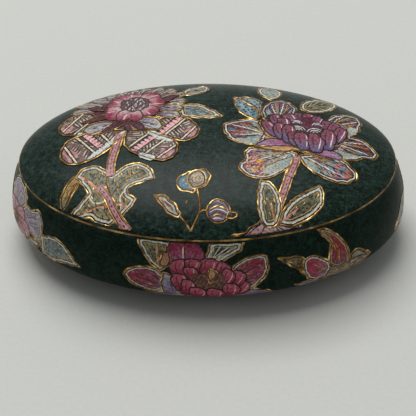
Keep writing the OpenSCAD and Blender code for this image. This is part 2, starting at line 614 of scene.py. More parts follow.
def wash(*stops, edge=None, spots=None, streaks=0.28):
    """A way to tint a petal: colours from its foot to its tip, with an edge band and spots.

    stops are (share, colour), edge is (colour, width), and spots is (colour, size, amount).
    """
    def tint(points, rim_depth, along, across, seed):
        shares = [s for s, _ in stops]
        colours = np.array([c for _, c in stops])
        wander = along + 0.06 * ripple(points, 3.5, seed)
        result = np.stack([np.interp(wander, shares, colours[:, k]) for k in range(3)], 1)
        if spots:
            colour, size, amount = spots
            cover = np.clip(ripple(points, size, seed + 1) * 1.6 - 0.5 + amount, 0, 1)[:, None]
            result = result * (1 - cover) + np.array(colour) * cover
        lines = ripple(np.c_[across * 1.0, along * 0.6], 0.55, seed + 2)
        result = result * BODY * (1 + streaks * lines[:, None])
        if edge:
            colour, width = edge
            cover = np.clip((width - rim_depth) / 0.25 + 0.5, 0, 1)[:, None]
            result = result * (1 - cover) + np.array(colour) * EDGE * cover
        return np.clip(result, 0, 1)
    return tint


# ---------------------------------------------------------------- brushwork
class Coat:
    """The points, faces and tints of one piece while it is being painted."""

    def __init__(self):
        self.points, self.faces, self.tints, self.count = [], [], [], 0

    def add(self, points, faces, tints):
        self.points.append(points)
        self.tints.append(np.broadcast_to(np.asarray(tints, float), (len(points), 3)))
        self.faces += [tuple(i + self.count for i in face) for face in faces]
        self.count += len(points)


# Sections of a gold line and of an ink line, as (share of the half-width, share of the height)
BEAD = ((-1, 0.0), (-0.62, 0.8), (0, 1.0), (0.62, 0.8), (1, 0.0))
FILM = ((-1, 0.0), (0, 1.0), (1, 0.0))
BEAD_HEIGHT, BEAD_ROOT = 0.09, 0.03
FILM_HEIGHT, FILM_ROOT = 0.016, 0.012

FIRST_COAT = 0.05    # height of the first coat over the glaze
COAT_RISE = 0.004    # how far each coat of enamel lies over the last
LINE_RISE = 0.002    # the same for lines drawn over lines
PATCH_RISE = 0.003   # the same for lines drawn over a pale patch
PETAL_SWAY = 0.2     # how far a petal's outline wanders from its drawn points
VEIN_BOW = 0.06      # how far a vein bows, as a share of its length
LEAF_LINE = 0.54     # width of the gold line round a leaf
CUP_LINE = 0.62      # width of the dark line round a cupped petal
OVER_SKIRT = 0.32    # height of a stem that crosses the left flower's skirt
OVER_SAUCER = 0.3    # height of a stem that crosses the right flower's outer petals
SUNK = 0.02          # how far the walls of a coat reach into the glaze
WALL_SHADE = 0.6     # painted shade on those walls: their tint as a share of the coat's own
GRAIN = 0.6          # spacing of the points inside a coat
LINE_STEP = 0.4      # spacing of the points along a straight line
GAP = 2.2            # a longer step in an outline is a gap in it


class Motif:
    """One painted spray: enamel and gilding on one surface, built up in coats."""

    def __init__(self, name, body, place=(0, 0), mirror=False):
        self.name = name
        self.body = body
        self.surface, self.limit = (lid_surface, lid_limit) if body == "lid" else (base_surface, base_limit)
        self.enamel = Coat()
        self.gilding = Coat()
        self.order = 0
        self.lines = []
        self.covers = []
        self.random = random.Random(name)
        self.lift = FIRST_COAT
        self.place = np.array(place, float)
        self.mirror = mirror

    def seed(self):
        """The next number for this motif's unsteady lines."""
        return self.random.randrange(10 ** 6)

    def put(self, points):
        """Motif positions turned into positions on the surface."""
        flip = np.array([-1.0 if self.mirror else 1.0, 1.0])
        return self.limit(np.asarray(points)[:, :2] * flip + self.place)

    def rise(self):
        """The next lines lie over the last ones."""
        self.lift += LINE_RISE

    def fill(self, loop, foot, tip, tint):
        """One closed area of enamel. foot and tip give the way its colours run."""
        self.lift += COAT_RISE
        self.order += 1
        self.covers.append((self.order, loop))
        count = len(loop)
        grid = within(loop, staggered(loop, GRAIN), GRAIN * 0.45)
        corners = np.concatenate([loop, grid])
        ring = [(i, (i + 1) % count) for i in range(count)]
        flat, _, faces, _, _, _ = delaunay_2d_cdt([Vector(p) for p in corners], ring, [], 1, 1e-5)
        flat = np.array([tuple(p) for p in flat])
        if self.mirror:
            faces = [face[::-1] for face in faces]
        foot, tip = np.array(foot, float), np.array(tip, float)
        reach = np.linalg.norm(tip - foot) + NEVER_ZERO
        way = (tip - foot) / reach
        along = (flat - foot) @ way / reach
        across = (flat - foot) @ quarter_turn(way)
        tints = tint(flat, depth(loop, flat), along, across, self.seed())
        self.enamel.add(raised(self.surface, self.put(flat), self.lift), faces, tints)
        wall = np.concatenate([loop, loop])
        sides = [(i, i + count, (i + 1) % count + count, (i + 1) % count) for i in range(count)]
        lifts = np.r_[np.full(count, self.lift), np.full(count, -SUNK)]
        # The walls take painted shade: their tint is the coat's own, darkened by WALL_SHADE.
        wall_tint = tint(wall, np.zeros(2 * count), np.full(2 * count, 0.5), np.zeros(2 * count), 1)
        self.enamel.add(raised(self.surface, self.put(wall), lifts), sides, wall_tint * WALL_SHADE)

    def stroke(self, path, width, colour=None, closed=False, taper=True, wobble=0.3):
        """A brushed line along a path: gold where no colour is given."""
        if len(path) < 2:
            return
        run = np.roll(path, -1, axis=0) - np.roll(path, 1, axis=0)
        if not closed:
            run[0], run[-1] = path[1] - path[0], path[-1] - path[-2]
        side = np.c_[-run[:, 1], run[:, 0]] / (np.linalg.norm(run, axis=1, keepdims=True) + NEVER_ZERO)
        half = width / 2 * (1 + wobble * ripple(path, 2.0, self.seed()))
        if taper and not closed:
            ends = np.minimum(np.arange(len(path)), np.arange(len(path))[::-1]) / max(1, (len(path) - 1) / 2)
            half = half * np.clip(0.25 + 1.6 * ends, 0, 1)
        self.lines.append((self.order, self.lift, path, side * half[:, None], colour, closed))

    def dab(self, centre, size, colour=None, long=1.0, degrees=0.0):
        """A small raised spot, round or long."""
        reach = direction(degrees) * size * long / 2
        swell = quarter_turn(direction(degrees)) * size / 2
        shares = np.array([-1, -0.7, 0, 0.7, 1])
        path = np.array(centre) + shares[:, None] * reach
        offset = np.sqrt(1 - shares ** 2)[:, None] * swell + 1e-4
        self.lines.append((self.order, self.lift, path, offset, colour, False))

    def lay_lines(self):
        """Builds every line, without the parts that a later coat of enamel covers."""
        counts = [len(path) for _, _, path, _, _, _ in self.lines]
        spots = np.concatenate([path for _, _, path, _, _, _ in self.lines])
        orders = np.repeat([order for order, *_ in self.lines], counts)
        seen = np.ones(len(spots), bool)
        for order, loop in self.covers:
            low, high = loop.min(0), loop.max(0)
            near = np.flatnonzero(seen & (orders < order) & ((spots > low) & (spots < high)).all(1))
            seen[near[inside(loop, spots[near])]] = False
        start = 0
        for (order, lift, path, offset, colour, closed), count in zip(self.lines, counts):
            shown = seen[start:start + count]
            start += count
            if closed and not shown.all() and shown.any():
                turn = int(np.flatnonzero(~shown)[0])
                path, offset, shown = (np.roll(row, -turn, axis=0) for row in (path, offset, shown))
            joined = closed and shown.all()
            for run in np.split(np.arange(count), np.flatnonzero(np.diff(shown.astype(int))) + 1):
                if shown[run[0]] and len(run) > 1:
                    self.ribbon(path[run], offset[run], lift, colour, joined)

    def ribbon(self, path, offset, lift, colour, closed):
        """The mesh of one line: a rounded bead of gold, or a thin film of colour."""
        if colour is None:
            coat, section, height, root = self.gilding, BEAD, BEAD_HEIGHT, BEAD_ROOT
        else:
            coat, section, height, root = self.enamel, FILM, FILM_HEIGHT, FILM_ROOT
        count = len(path)
        rows = [path + offset * across for across, _ in section]
        lifts = [np.full(count, lift + height * rise if rise else lift - root) for _, rise in section]
        points = raised(self.surface, self.put(np.concatenate(rows)), np.concatenate(lifts))
        faces = []
        for row in range(len(section) - 1):
            for i in range(count if closed else count - 1):
                j = (i + 1) % count
                face = (row * count + i, row * count + j, (row + 1) * count + j, (row + 1) * count + i)
                faces.append(face[::-1] if self.mirror else face)
        coat.add(points, faces, CREAM if colour is None else colour)

    # ---- the painter's habits
    def petal(self, points, foot, tip, tint, line=0.5, inner=None, width=0.42):
        """A filled outline with its gold line, and an ink line inset by inner."""
        loop = shaken(smooth(points, closed=True), PETAL_SWAY, self.seed())
        self.fill(loop, foot, tip, tint)
        if inner:
            self.closed_line(inset(loop, inner), width, INK)
        self.rise()
        if line:
            self.closed_line(inset(loop, line * 0.95), 0.6, INK)
            self.stroke(loop, line, closed=True)
        return loop

    def closed_line(self, loop, width, colour=None):
        """A line round a loop, broken where the loop has a gap."""
        if len(loop) < 4:
            return
        step = np.linalg.norm(np.roll(loop, -1, axis=0) - loop, axis=1)
        gaps = np.flatnonzero(step > GAP)
        if len(gaps) == 0:
            self.stroke(loop, width, colour, closed=True)
            return
        loop = np.roll(loop, -(gaps[0] + 1), axis=0)
        for run in np.split(loop, (gaps[1:] - gaps[0])):
            self.stroke(run, width, colour)

    def clipped(self, loop, path, width, colour=None, margin=0.5, **style):
        """The parts of a line that lie inside a loop."""
        path = shaken(path, 0.1, self.seed())
        keep = inside(loop, path) & (depth(loop, path) > margin)
        runs = np.split(np.arange(len(path)), np.flatnonzero(np.diff(keep.astype(int))) + 1)
        for run in runs:
            if keep[run[0]] and len(run) > 1:
                self.stroke(path[run], width, colour, **style)

    def straight(self, start, end):
        """Evenly spaced points from start to end."""
        number = max(2, int(math.dist(start, end) / LINE_STEP))
        return np.linspace(start, end, number)

    def stripe(self, loop, start, end, width, colour):
        """A straight painted band across a petal, lined in ink on both sides."""
        path = self.straight(start, end)
        self.rise()
        self.clipped(loop, path, width, colour, taper=False, wobble=0.12)
        way = np.array(end, float) - start
        side = quarter_turn(way) / np.linalg.norm(way) * (width / 2 + 0.18)
        for sign in (-1, 1):
            self.clipped(loop, path + side * sign, 0.5, INK, taper=False)

    def hatch(self, loop, degrees, spacing, width, colour, dash=0.0, gap=0.0, margin=0.7, near=None,
              phase=0.0):
        """Parallel strokes inside a loop, whole or dashed. near limits them to a (centre, radius)."""
        way = direction(degrees)
        side = quarter_turn(way)
        centre, radius = near if near else (loop.mean(0), np.ptp(loop, axis=0).max())
        self.rise()
        for k in np.arange(-radius, radius, spacing) + phase * spacing:
            k = k + self.random.uniform(-0.08, 0.08) * spacing
            at = -radius + self.random.uniform(0, dash + gap)
            while at < radius:
                length = dash * self.random.uniform(0.75, 1.25) if dash else 2 * radius
                start = np.array(centre) + side * k + way * at
                path = self.straight(start, start + way * length)
                if near:
                    path = path[np.linalg.norm(path - np.array(centre), axis=1) < radius]
                if len(path) > 1:
                    self.clipped(loop, path, width, colour, margin)
                at += length + gap

    def fan(self, foot, tips, width, colour, start=0.15, end=0.85):
        """Veins that run from near the foot towards each tip."""
        self.rise()
        foot = np.array(foot, float)
        for tip in tips:
            way = np.array(tip, float) - foot
            bow = quarter_turn(way) * VEIN_BOW * self.random.uniform(-1, 1)
            stops = [foot + way * start, foot + way * (start + end) / 2 + bow, foot + way * end]
            self.stroke(smooth([tuple(p) for p in stops], spacing=0.5), width, colour)

    def sprinkle(self, loop, spacing, size, colour=None, margin=1.1, long=1.0, degrees=0.0, share=1.0):
        """Dots or dashes scattered evenly inside a loop."""
        stray = spacing / 4
        spots = [(x + self.random.uniform(-stray, stray), y + self.random.uniform(-stray, stray))
                 for x, y in staggered(loop, spacing) if self.random.random() < share]
        self.rise()
        for spot in within(loop, np.array(spots).reshape(-1, 2), margin):
            self.dab(spot, size * self.random.uniform(0.8, 1.2), colour, long=long,
                     degrees=degrees + self.random.uniform(-12, 12))

    def finish(self):
        """Makes the motif's two pieces and lets them ride on their body."""
        self.lay_lines()
        for coat, material in ((self.enamel, "enamel"), (self.gilding, "gold")):
            if not coat.count:
                continue
            piece = make_piece(f"{self.name}_{material}", np.concatenate(coat.points), coat.faces, [material],
                               tints=np.concatenate(coat.tints))
            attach(piece, self.body)


# ---------------------------------------------------------------- the lid's paintings
def round_petal(length, width):
    """A petal about the origin with its foot at (0, 0) and a round tip at (0, length)."""
    half = width / 2
    right = [(half * 0.75, length * 0.28), (half, length * 0.62), (half * 0.6, length * 0.9)]
    return [(0, 0, 1), *right, (0, length), *[(-x, y) for x, y in right[::-1]]]


def ink_hatch(art, loop, degrees, near):
    """A block of close strokes, dark and pale in turn."""
    art.hatch(loop, degrees, 1.15, 0.46, BROWN_INK, near=near)
    art.hatch(loop, degrees, 1.15, 0.46, srgb(210, 196, 184), dash=3.6, gap=0.5, near=near, phase=0.5)


def peony_petal(art, points, foot, tip, bands, blush):
    """A big patterned petal: cross-hatched taupe crossed by cream stripes and ticked pink bands.

    bands is a list of (kind, start, end), each a straight band across the petal.
    """
    loop = art.petal(points, foot, tip,
                     wash((0, TAUPE), (0.6, srgb(142, 124, 110)), (1, srgb(166, 132, 124))), line=0)
    centre = loop.mean(0)
    slant = heading(foot, tip)
    way = direction(slant)
    for turn, ahead, radius in ((40, -6.4, 3.6), (-45, 0.2, 3.4), (35, 6.6, 3.4)):
        ink_hatch(art, loop, slant + turn, (centre + way * ahead + (way[1], -way[0]), radius))
        ink_hatch(art, loop, slant - turn, (centre + way * (ahead + 2) + (-4.5 * way[1], 4.5 * way[0]), 2.8))
        ink_hatch(art, loop, slant + turn * 1.5,
                  (centre + way * (ahead + 3) + (5 * way[1], -5 * way[0]), 2.4))
    spot, radius = blush
    patch = [(spot[0] + radius * math.cos(a), spot[1] + radius * math.sin(a)) for a in np.linspace(0, 5.5, 8)]
    ring = shaken(smooth(patch, closed=True), 0.4, 7)
    ring = ring[inside(loop, ring) & (depth(loop, ring) > 0.4)]
    art.fill(ring, spot, (spot[0], spot[1] + radius),
             wash((0, BLUSH), (1, ROSE), spots=(CRIMSON, 3.0, -0.15)))
    art.sprinkle(ring, 1.4, 0.5, INK, margin=0.6, share=0.5)
    for kind, start, end in bands:
        way = (np.array(end, float) - start) / math.dist(start, end)
        side = quarter_turn(way)
        if kind == "ticked":
            art.stripe(loop, start, end, 2.4, BLUSH)
            art.rise()
            for share in np.arange(0.8, math.dist(start, end), 1.7):
                root = np.array(start) + way * share + side * 1.25
                art.clipped(loop, art.straight(root, root - side * 1.8), 0.9, INK, taper=False)
        elif kind == "pale":
            bow = smooth([start, tuple((np.array(start) + end) / 2 - side * 0.5), end])
            art.rise()
            art.clipped(loop, bow, 2.9, srgb(214, 222, 214), 0.3, wobble=0.1)
            art.clipped(loop, bow + side * 1.4, 0.46, INK)
        else:
            art.stripe(loop, start, end, 0.74, CREAM)
    art.rise()
    art.closed_line(inset(loop, 0.5), 0.5, INK)
    art.stroke(loop, 0.6, closed=True)


def fringe_petal(art, points, foot, tip, colour, pale):
    """A narrow outer petal in washed purple with pale and dark streaks."""
    loop = art.petal(points, foot, tip, wash((0, colour), (0.55, MAUVE), (1, pale), streaks=0.3), line=0.3)
    foot, tip = np.array(foot, float), np.array(tip, float)
    side = quarter_turn(tip - foot) / np.linalg.norm(tip - foot)
    for offset, shade in ((-2.6, pale), (-1.7, PURPLE_INK), (-0.8, srgb(220, 214, 206)), (0.1, INK),
                          (1.0, srgb(214, 208, 216)), (1.9, MAROON), (2.7, pale)):
        art.clipped(loop, art.straight(foot + (tip - foot) * 0.3, tip + side * offset * 1.3), 0.46, shade,
                    0.4)


def ring_petal(art, points, heart):
    """A cupped petal of the pink ring, pale towards the heart and crimson outside."""
    middle = np.mean([p[:2] for p in points], axis=0)
    way = (middle - heart) / np.linalg.norm(middle - heart)
    side = quarter_turn(way)
    loop = art.petal(points, middle - way * 3.4, middle + way * 3.4,
                     wash((0, srgb(246, 216, 212)), (0.35, srgb(226, 168, 176)), (0.7, srgb(186, 84, 114)),
                          (1, srgb(128, 32, 62)), spots=(CRIMSON, 4.0, -0.15), streaks=0.12), line=0)
    for across, colour in ((-1.3, srgb(240, 204, 204)), (0.9, CRIMSON)):
        art.clipped(loop,
                    art.straight(middle - way * 1.0 + side * across * 0.7,
                                 middle + way * 3.0 + side * across * 1.4), 0.7, colour, 0.4)
    art.rise()
    art.stroke(loop, 0.62, BROWN_INK, closed=True)


def peony_fringe(art, heart):
    """Narrow petals fanned out behind the ring."""
    back_fringe = [(196, 21, 8), (178, 22.5, 8), (160, 23, 8), (143, 20, 7.5), (126, 18, 7.5), (109, 17, 7.5),
                   (92, 16.5, 7.5), (75, 17, 7.5), (58, 18.5, 7.5), (41, 19.5, 7.5), (24, 20, 7.5),
                   (8, 19, 7)]
    for angle, length, width in back_fringe:
        points = turned(round_petal(length, width), heart, angle)
        tip = turned([(0, length)], heart, angle)[0]
        fringe_petal(art, points, heart, tip, srgb(98, 62, 78), srgb(186, 180, 172))
    under = smooth([(-40, 4), (-34, 1), (-26.5, 1.6), (-18, 3), (-12, 10), (-14, 20), (-26, 26), (-36, 22),
                    (-42, 12)], closed=True)
    art.fill(under, heart, (-26.5, 1), wash((0, MAROON), (1, srgb(120, 96, 96))))


def peony_skirt(art):
    """Four patterned petals in front of the ring."""
    peony_petal(art, [(-36, 4, 1), (-43, 2), (-48.5, 3), (-51.6, 6), (-52, 10), (-49.5, 14), (-45.5, 16.5),
                      (-41, 15), (-38, 10)], (-36, 6), (-51, 9),
                [("stripe", (-51.5, 4), (-43, 18)), ("stripe", (-47, 2), (-39, 12)),
                 ("pale", (-51, 3.2), (-40, 2.6))], ((-49.5, 7), 2.6))
    peony_petal(art, [(-20, 1.5), (-15, -1), (-9, -4), (-5.5, -3.4), (-3, -0.6), (-2.7, 2.8), (-4.4, 6.2),
                      (-8, 9.4), (-13, 10), (-18, 7)], (-19, 4), (-3, 1),
                [("ticked", (-17, -1.5), (-7, 12)), ("stripe", (-14.6, -1.5), (-6.5, 9.5)),
                 ("stripe", (-10, -6), (-3, 5))], ((-5, 0.5), 2.6))
    peony_petal(art, [(-27.5, 2.5, 1), (-30.5, -4), (-35, -9.2), (-40.5, -12.6), (-45.5, -12.6),
                      (-49.3, -9.5), (-49.8, -4.5), (-48, -0.5), (-43, 2), (-36, 3.5)], (-29, 1), (-48, -9),
                [("stripe", (-46, 2), (-35, -12)), ("ticked", (-42.5, 2.5), (-32.5, -10)),
                 ("stripe", (-49, -3), (-43, -13.5)), ("stripe", (-38, 3.4), (-31.5, -6)),
                 ("pale", (-39.5, -11.5), (-27.5, 2.5))], ((-47, -9), 3.4))
    peony_petal(art, [(-27.5, 2.5, 1), (-28, -4), (-26.3, -7.8), (-22, -11.4), (-17.5, -13.4), (-14, -14.2),
                      (-11, -12.4), (-9.6, -9.5), (-9.7, -5.5), (-12, -2.8), (-17, -0.4), (-22, 2)], (-26, 0),
                (-11, -11), [("stripe", (-26.5, -7.5), (-18, 2)), ("ticked", (-24.6, -9), (-15.6, 1)),
                             ("stripe", (-21.5, -12), (-12.5, -2)), ("stripe", (-17.5, -14.5), (-9, -5.5)),
                             ("pale", (-20.5, 1.2), (-10.5, -4.5)), ("pale", (-27.6, -7.2), (-17, -13.3))],
                ((-12.5, -11), 2.8))


def peony_slotted_petals(art):
    """Pale petals with dark slots, between the skirt and the ring."""
    for points, foot, tip in (([(-26.5, 8, 1), (-24, 4.6), (-19.5, 2.2), (-16.3, 1.9), (-15, 3.6),
                                (-15.8, 6.6), (-18, 9), (-22, 9.5)], (-26, 8), (-15.5, 3.5)),
                              ([(-18, 10, 1), (-15, 8.8), (-11, 9.2), (-9.2, 11), (-11, 13), (-15, 13.4)],
                               (-18, 11), (-9.5, 11)),
                              ([(-18, 14, 1), (-14.5, 12.6), (-10, 13.4), (-8.4, 15.4), (-10.5, 17.4),
                                (-15, 17)], (-18, 15), (-8.5, 15.5)),
                              ([(-30, 6.5, 1), (-35, 2.6), (-40, 1.4), (-43, 3.4), (-41.5, 6.6),
                                (-36.5, 8.6)], (-30, 7), (-43, 3.5))):
        loop = art.petal(points, foot, tip,
                         wash((0, srgb(126, 104, 140)), (0.5, srgb(206, 198, 206)), (1, WHITE)), 0.45)
        art.fan(foot, [loop[i] for i in range(8, len(loop) - 6, max(4, len(loop) // 7))], 0.44, PURPLE_INK,
                0.2, 0.86)
        for share in (0.42, 0.68):
            place = np.array(foot) + (np.array(tip) - foot) * share
            art.dab(place, 0.9, INK, long=2.4, degrees=heading(foot, tip))


def peony_shade(art):
    """Maroon tongues under the ring."""
    for points, tip in (([(-29.8, 7.6, 1), (-28.4, 3.6), (-26.6, 1.4, 1), (-24.6, 3.8), (-23, 7.4, 1),
                          (-26.4, 9)], (-26.6, 2)),
                        ([(-29.5, 9.5), (-25.5, 9), (-22, 4.6), (-21.5, 2.2), (-23.8, 2), (-26.5, 5)],
                         (-22, 2)),
                        ([(-30, 10), (-27, 8), (-30, 4.6), (-35, 1.2), (-37.5, 0.6), (-35, 4.4)], (-37, 1)),
                        ([(-34, 11), (-37, 9.4), (-42, 8.6), (-44, 9.6), (-40, 11.6), (-36, 13)], (-44, 9)),
                        ([(-37, 16), (-40, 16.4), (-43, 20), (-40, 20), (-37.4, 18.4)], (-43, 20)),
                        ([(-17.5, 19), (-14, 20), (-10.5, 24), (-13.6, 24), (-17, 21.8)], (-11, 24))):
        art.petal(points, (-28, 9), tip, wash((0, MAROON), (1, srgb(112, 66, 84))), line=0.26)


def peony_ring(art, heart):
    """Seven cupped petals round the heart, from the back to the front."""
    for points in ([(-34.6, 24.8), (-31.6, 26.8), (-27.6, 27.6), (-24.4, 26.6), (-23.8, 23.6), (-27.6, 22.4),
                    (-31.6, 22.6)],
                   [(-24, 23.2), (-23.4, 26), (-20.8, 27), (-18, 25.8), (-17.4, 23), (-20, 21.6)],
                   [(-21.4, 16.4), (-21.4, 20.6), (-19.6, 22.8), (-17, 22.4), (-15.5, 19.6), (-15.9, 16.6),
                    (-18.4, 15.6)], [(-35.6, 18.2), (-35.3, 21.6), (-33, 24), (-30.6, 23), (-29.8, 20),
                                     (-30.8, 17.2), (-33, 16.8)],
                   [(-36.2, 13.8), (-35.6, 17), (-32.6, 17.8), (-30.2, 15.8), (-30.2, 12.2), (-31.6, 9.2),
                    (-34, 8.8), (-35.8, 11)],
                   [(-24, 12.6), (-22.2, 15.6), (-19.4, 16.8), (-17.4, 14.4), (-17.3, 12), (-19.4, 10.2),
                    (-22.6, 10.4)], [(-32, 11.2), (-30.8, 13.8), (-27.6, 14.8), (-24.2, 13.8), (-22.6, 11),
                                     (-23, 8.4), (-25.4, 7), (-27.4, 9.2, 1), (-29.2, 7.6), (-31.4, 8.6)]):
        ring_petal(art, points, heart)


def peony_heart(art):
    """The brown heart of the left flower, with pale flecks."""
    core = [turned([(0, 4.9 + 0.5 * (k % 2))], (-25.9, 18.6), 30 * k)[0] for k in range(12)]
    loop = art.petal(core, (-26, 13), (-26, 24), wash((0, srgb(132, 110, 112)), (1, srgb(78, 60, 72))),
                     line=0)
    for side, bend in ((-3.2, -1.2), (-1.1, -0.5), (1.2, 0.6), (3.3, 1.4)):
        art.clipped(loop, smooth([(-26 + side * 0.5, 13.4), (-26 + side, 18), (-26 + side + bend, 23)]), 0.5,
                    BROWN_INK, 0.1)
    for colour, degrees in ((srgb(226, 218, 208), 75), (srgb(190, 178, 196), 110)):
        art.sprinkle(loop, 2.0, 0.6, colour, margin=0.7, long=2.8, degrees=degrees, share=0.6)
    art.closed_line(loop, 0.46, BROWN_INK)


def lid_peony():
    """The left flower: a ring of pink petals on a skirt of patterned ones."""
    art = Motif("lid_peony", "lid")
    heart = (-26.5, 17.5)
    peony_fringe(art, heart)
    peony_skirt(art)
    peony_slotted_petals(art)
    peony_shade(art)
    peony_ring(art, heart)
    peony_heart(art)
    art.finish()


def stem(art, path, width):
    """A pink stem between two gold lines, with dark dashes down its middle."""
    middle = smooth(path)
    run = np.gradient(middle, axis=0)
    side = np.c_[-run[:, 1], run[:, 0]] / np.linalg.norm(run, axis=1, keepdims=True)
    outline = np.concatenate([middle + side * width / 2, (middle - side * width / 2)[::-1]])
    art.fill(outline, path[0][:2], path[-1][:2],
             wash((0, BLUSH), (0.5, srgb(226, 158, 160)), (1, srgb(240, 176, 174)),
                  edge=(srgb(196, 150, 140), 0.4)))
    art.lift += COAT_RISE
    for sign in (-1, 1):
        art.stroke(middle + side * sign * width / 2, 0.5)
        art.stroke(middle + side * sign * (width / 2 - 0.5), 0.34, INK)
    for k in range(3, len(middle) - 3, 4):
        art.stroke(middle[k:k + 3], 0.62, INK)


def veined_leaf(art, points, foot, tip, body, dashes=True, rib=None):
    """A leaf with a pale edge band, an ink line inside it, a midrib and rows of gold dashes."""
    loop = art.petal(points, foot, tip,
                     wash((0, body), (0.5, body), (1, CELADON), edge=(srgb(236, 234, 212), 1.35),
                          spots=(srgb(60, 66, 52), 3.2, 0.12), streaks=0.3), LEAF_LINE, inner=1.5, width=0.46)
    art.closed_line(inset(loop, 1.95), 0.34, srgb(190, 156, 96))
    slant = heading(foot, tip)
    if dashes:
        art.sprinkle(loop, 2.1, 0.56, None, margin=1.8, long=2.8, degrees=slant + 10, share=0.75)
        art.sprinkle(loop, 1.8, 0.5, INK, margin=1.7, long=2.2, degrees=slant, share=0.75)
    if rib:
        art.stroke(smooth(rib), 0.9, srgb(206, 160, 130))
        art.stroke(smooth(rib) + (0.45, 0), 0.3)
    return loop


def lid_peony_leaf():
    """The big lobed leaf at the foot of the left flower, with the flower's pink stem."""
    art = Motif("lid_peony_leaf", "lid")
    art.lift = OVER_SKIRT
    stem(art, [(-29.6, 0.5), (-30.8, -8), (-31.6, -14), (-31.4, -20)], 2.9)
    art.lift = FIRST_COAT
    crescent = art.petal([(-41.4, -19, 1), (-44, -18), (-46.6, -21), (-48.2, -25.5), (-47.6, -29.2),
                          (-45.6, -28.6, 1), (-44.4, -25.6), (-42.4, -22.4)], (-42, -19), (-47, -29),
                         wash((0, srgb(206, 160, 84)), (0.6, srgb(150, 130, 90)), (1, CELADON),
                              spots=(srgb(232, 190, 96), 2.4, 0.2)), 0.62)
    art.fan((-42, -20), [(-46.8, -24), (-46.9, -27), (-45.4, -27)], 0.5, None, 0.15, 0.9)
    art.fan((-42.4, -21), [(-47.2, -26.6), (-45.8, -28)], 0.36, INK, 0.3, 0.95)
    art.hatch(crescent, 20, 1.3, 0.3, srgb(120, 74, 30), dash=0.9, gap=0.6)
    loop = veined_leaf(art, [(-31, -19.5, 1), (-34, -16.2), (-38, -14.4), (-41.6, -15.6), (-43.4, -18.4),
                             (-41.6, -20.6, 1), (-40.6, -22.6), (-38.6, -25.6, 1), (-41, -28.4),
                             (-44.4, -31.2, 1), (-42.6, -33.6), (-38.6, -33.4), (-35.6, -35), (-32, -36.8),
                             (-28.6, -36), (-26.4, -34.6), (-23.8, -32), (-22.2, -29.4, 1), (-24.4, -27.8),
                             (-25.4, -26), (-23.4, -24.2), (-20, -23.2), (-16.6, -22, 1), (-17.2, -19.2),
                             (-19.2, -16.4), (-22.4, -14.8), (-26, -15.4), (-28.6, -17.4)], (-29, -35),
                       (-33, -16), srgb(158, 158, 128))
    for rib, width, colour in (([(-30, -31), (-34, -26), (-39.4, -20.4), (-42, -18.6)], 1.5,
                                srgb(222, 166, 136)), ([(-31, -29), (-27.6, -23), (-20.4, -18.6)], 0.5, INK),
                               ([(-31, -28), (-32.4, -22), (-33, -17.4)], 0.5, INK),
                               ([(-31, -31.4), (-35, -31), (-39.6, -32)], 0.9, srgb(222, 166, 136)),
                               ([(-30, -31), (-27, -31), (-25, -32.6)], 0.9, srgb(222, 166, 136))):
        art.rise()
        art.clipped(loop, smooth(rib), width, colour, 0.8)
        art.clipped(loop, smooth(rib) + (0.1, width / 2), 0.34, None, 0.8)
    art.clipped(loop, smooth([(-38.6, -25.8), (-36.4, -29.4), (-31.4, -29.2)]), 0.5, CREAM, 0.4)
    art.clipped(loop, smooth([(-25.8, -26), (-27.6, -28.4), (-27, -33)]), 0.5, CREAM, 0.4)
    art.clipped(loop, smooth([(-25, -25.8), (-26.6, -28.2), (-25.8, -32)]), 0.3, INK, 0.4)
    stem(art, [(-35.4, -23.4), (-32, -27.8), (-29.6, -32.6), (-27, -36.6), (-24, -39.6)], 2.6)
    art.finish()


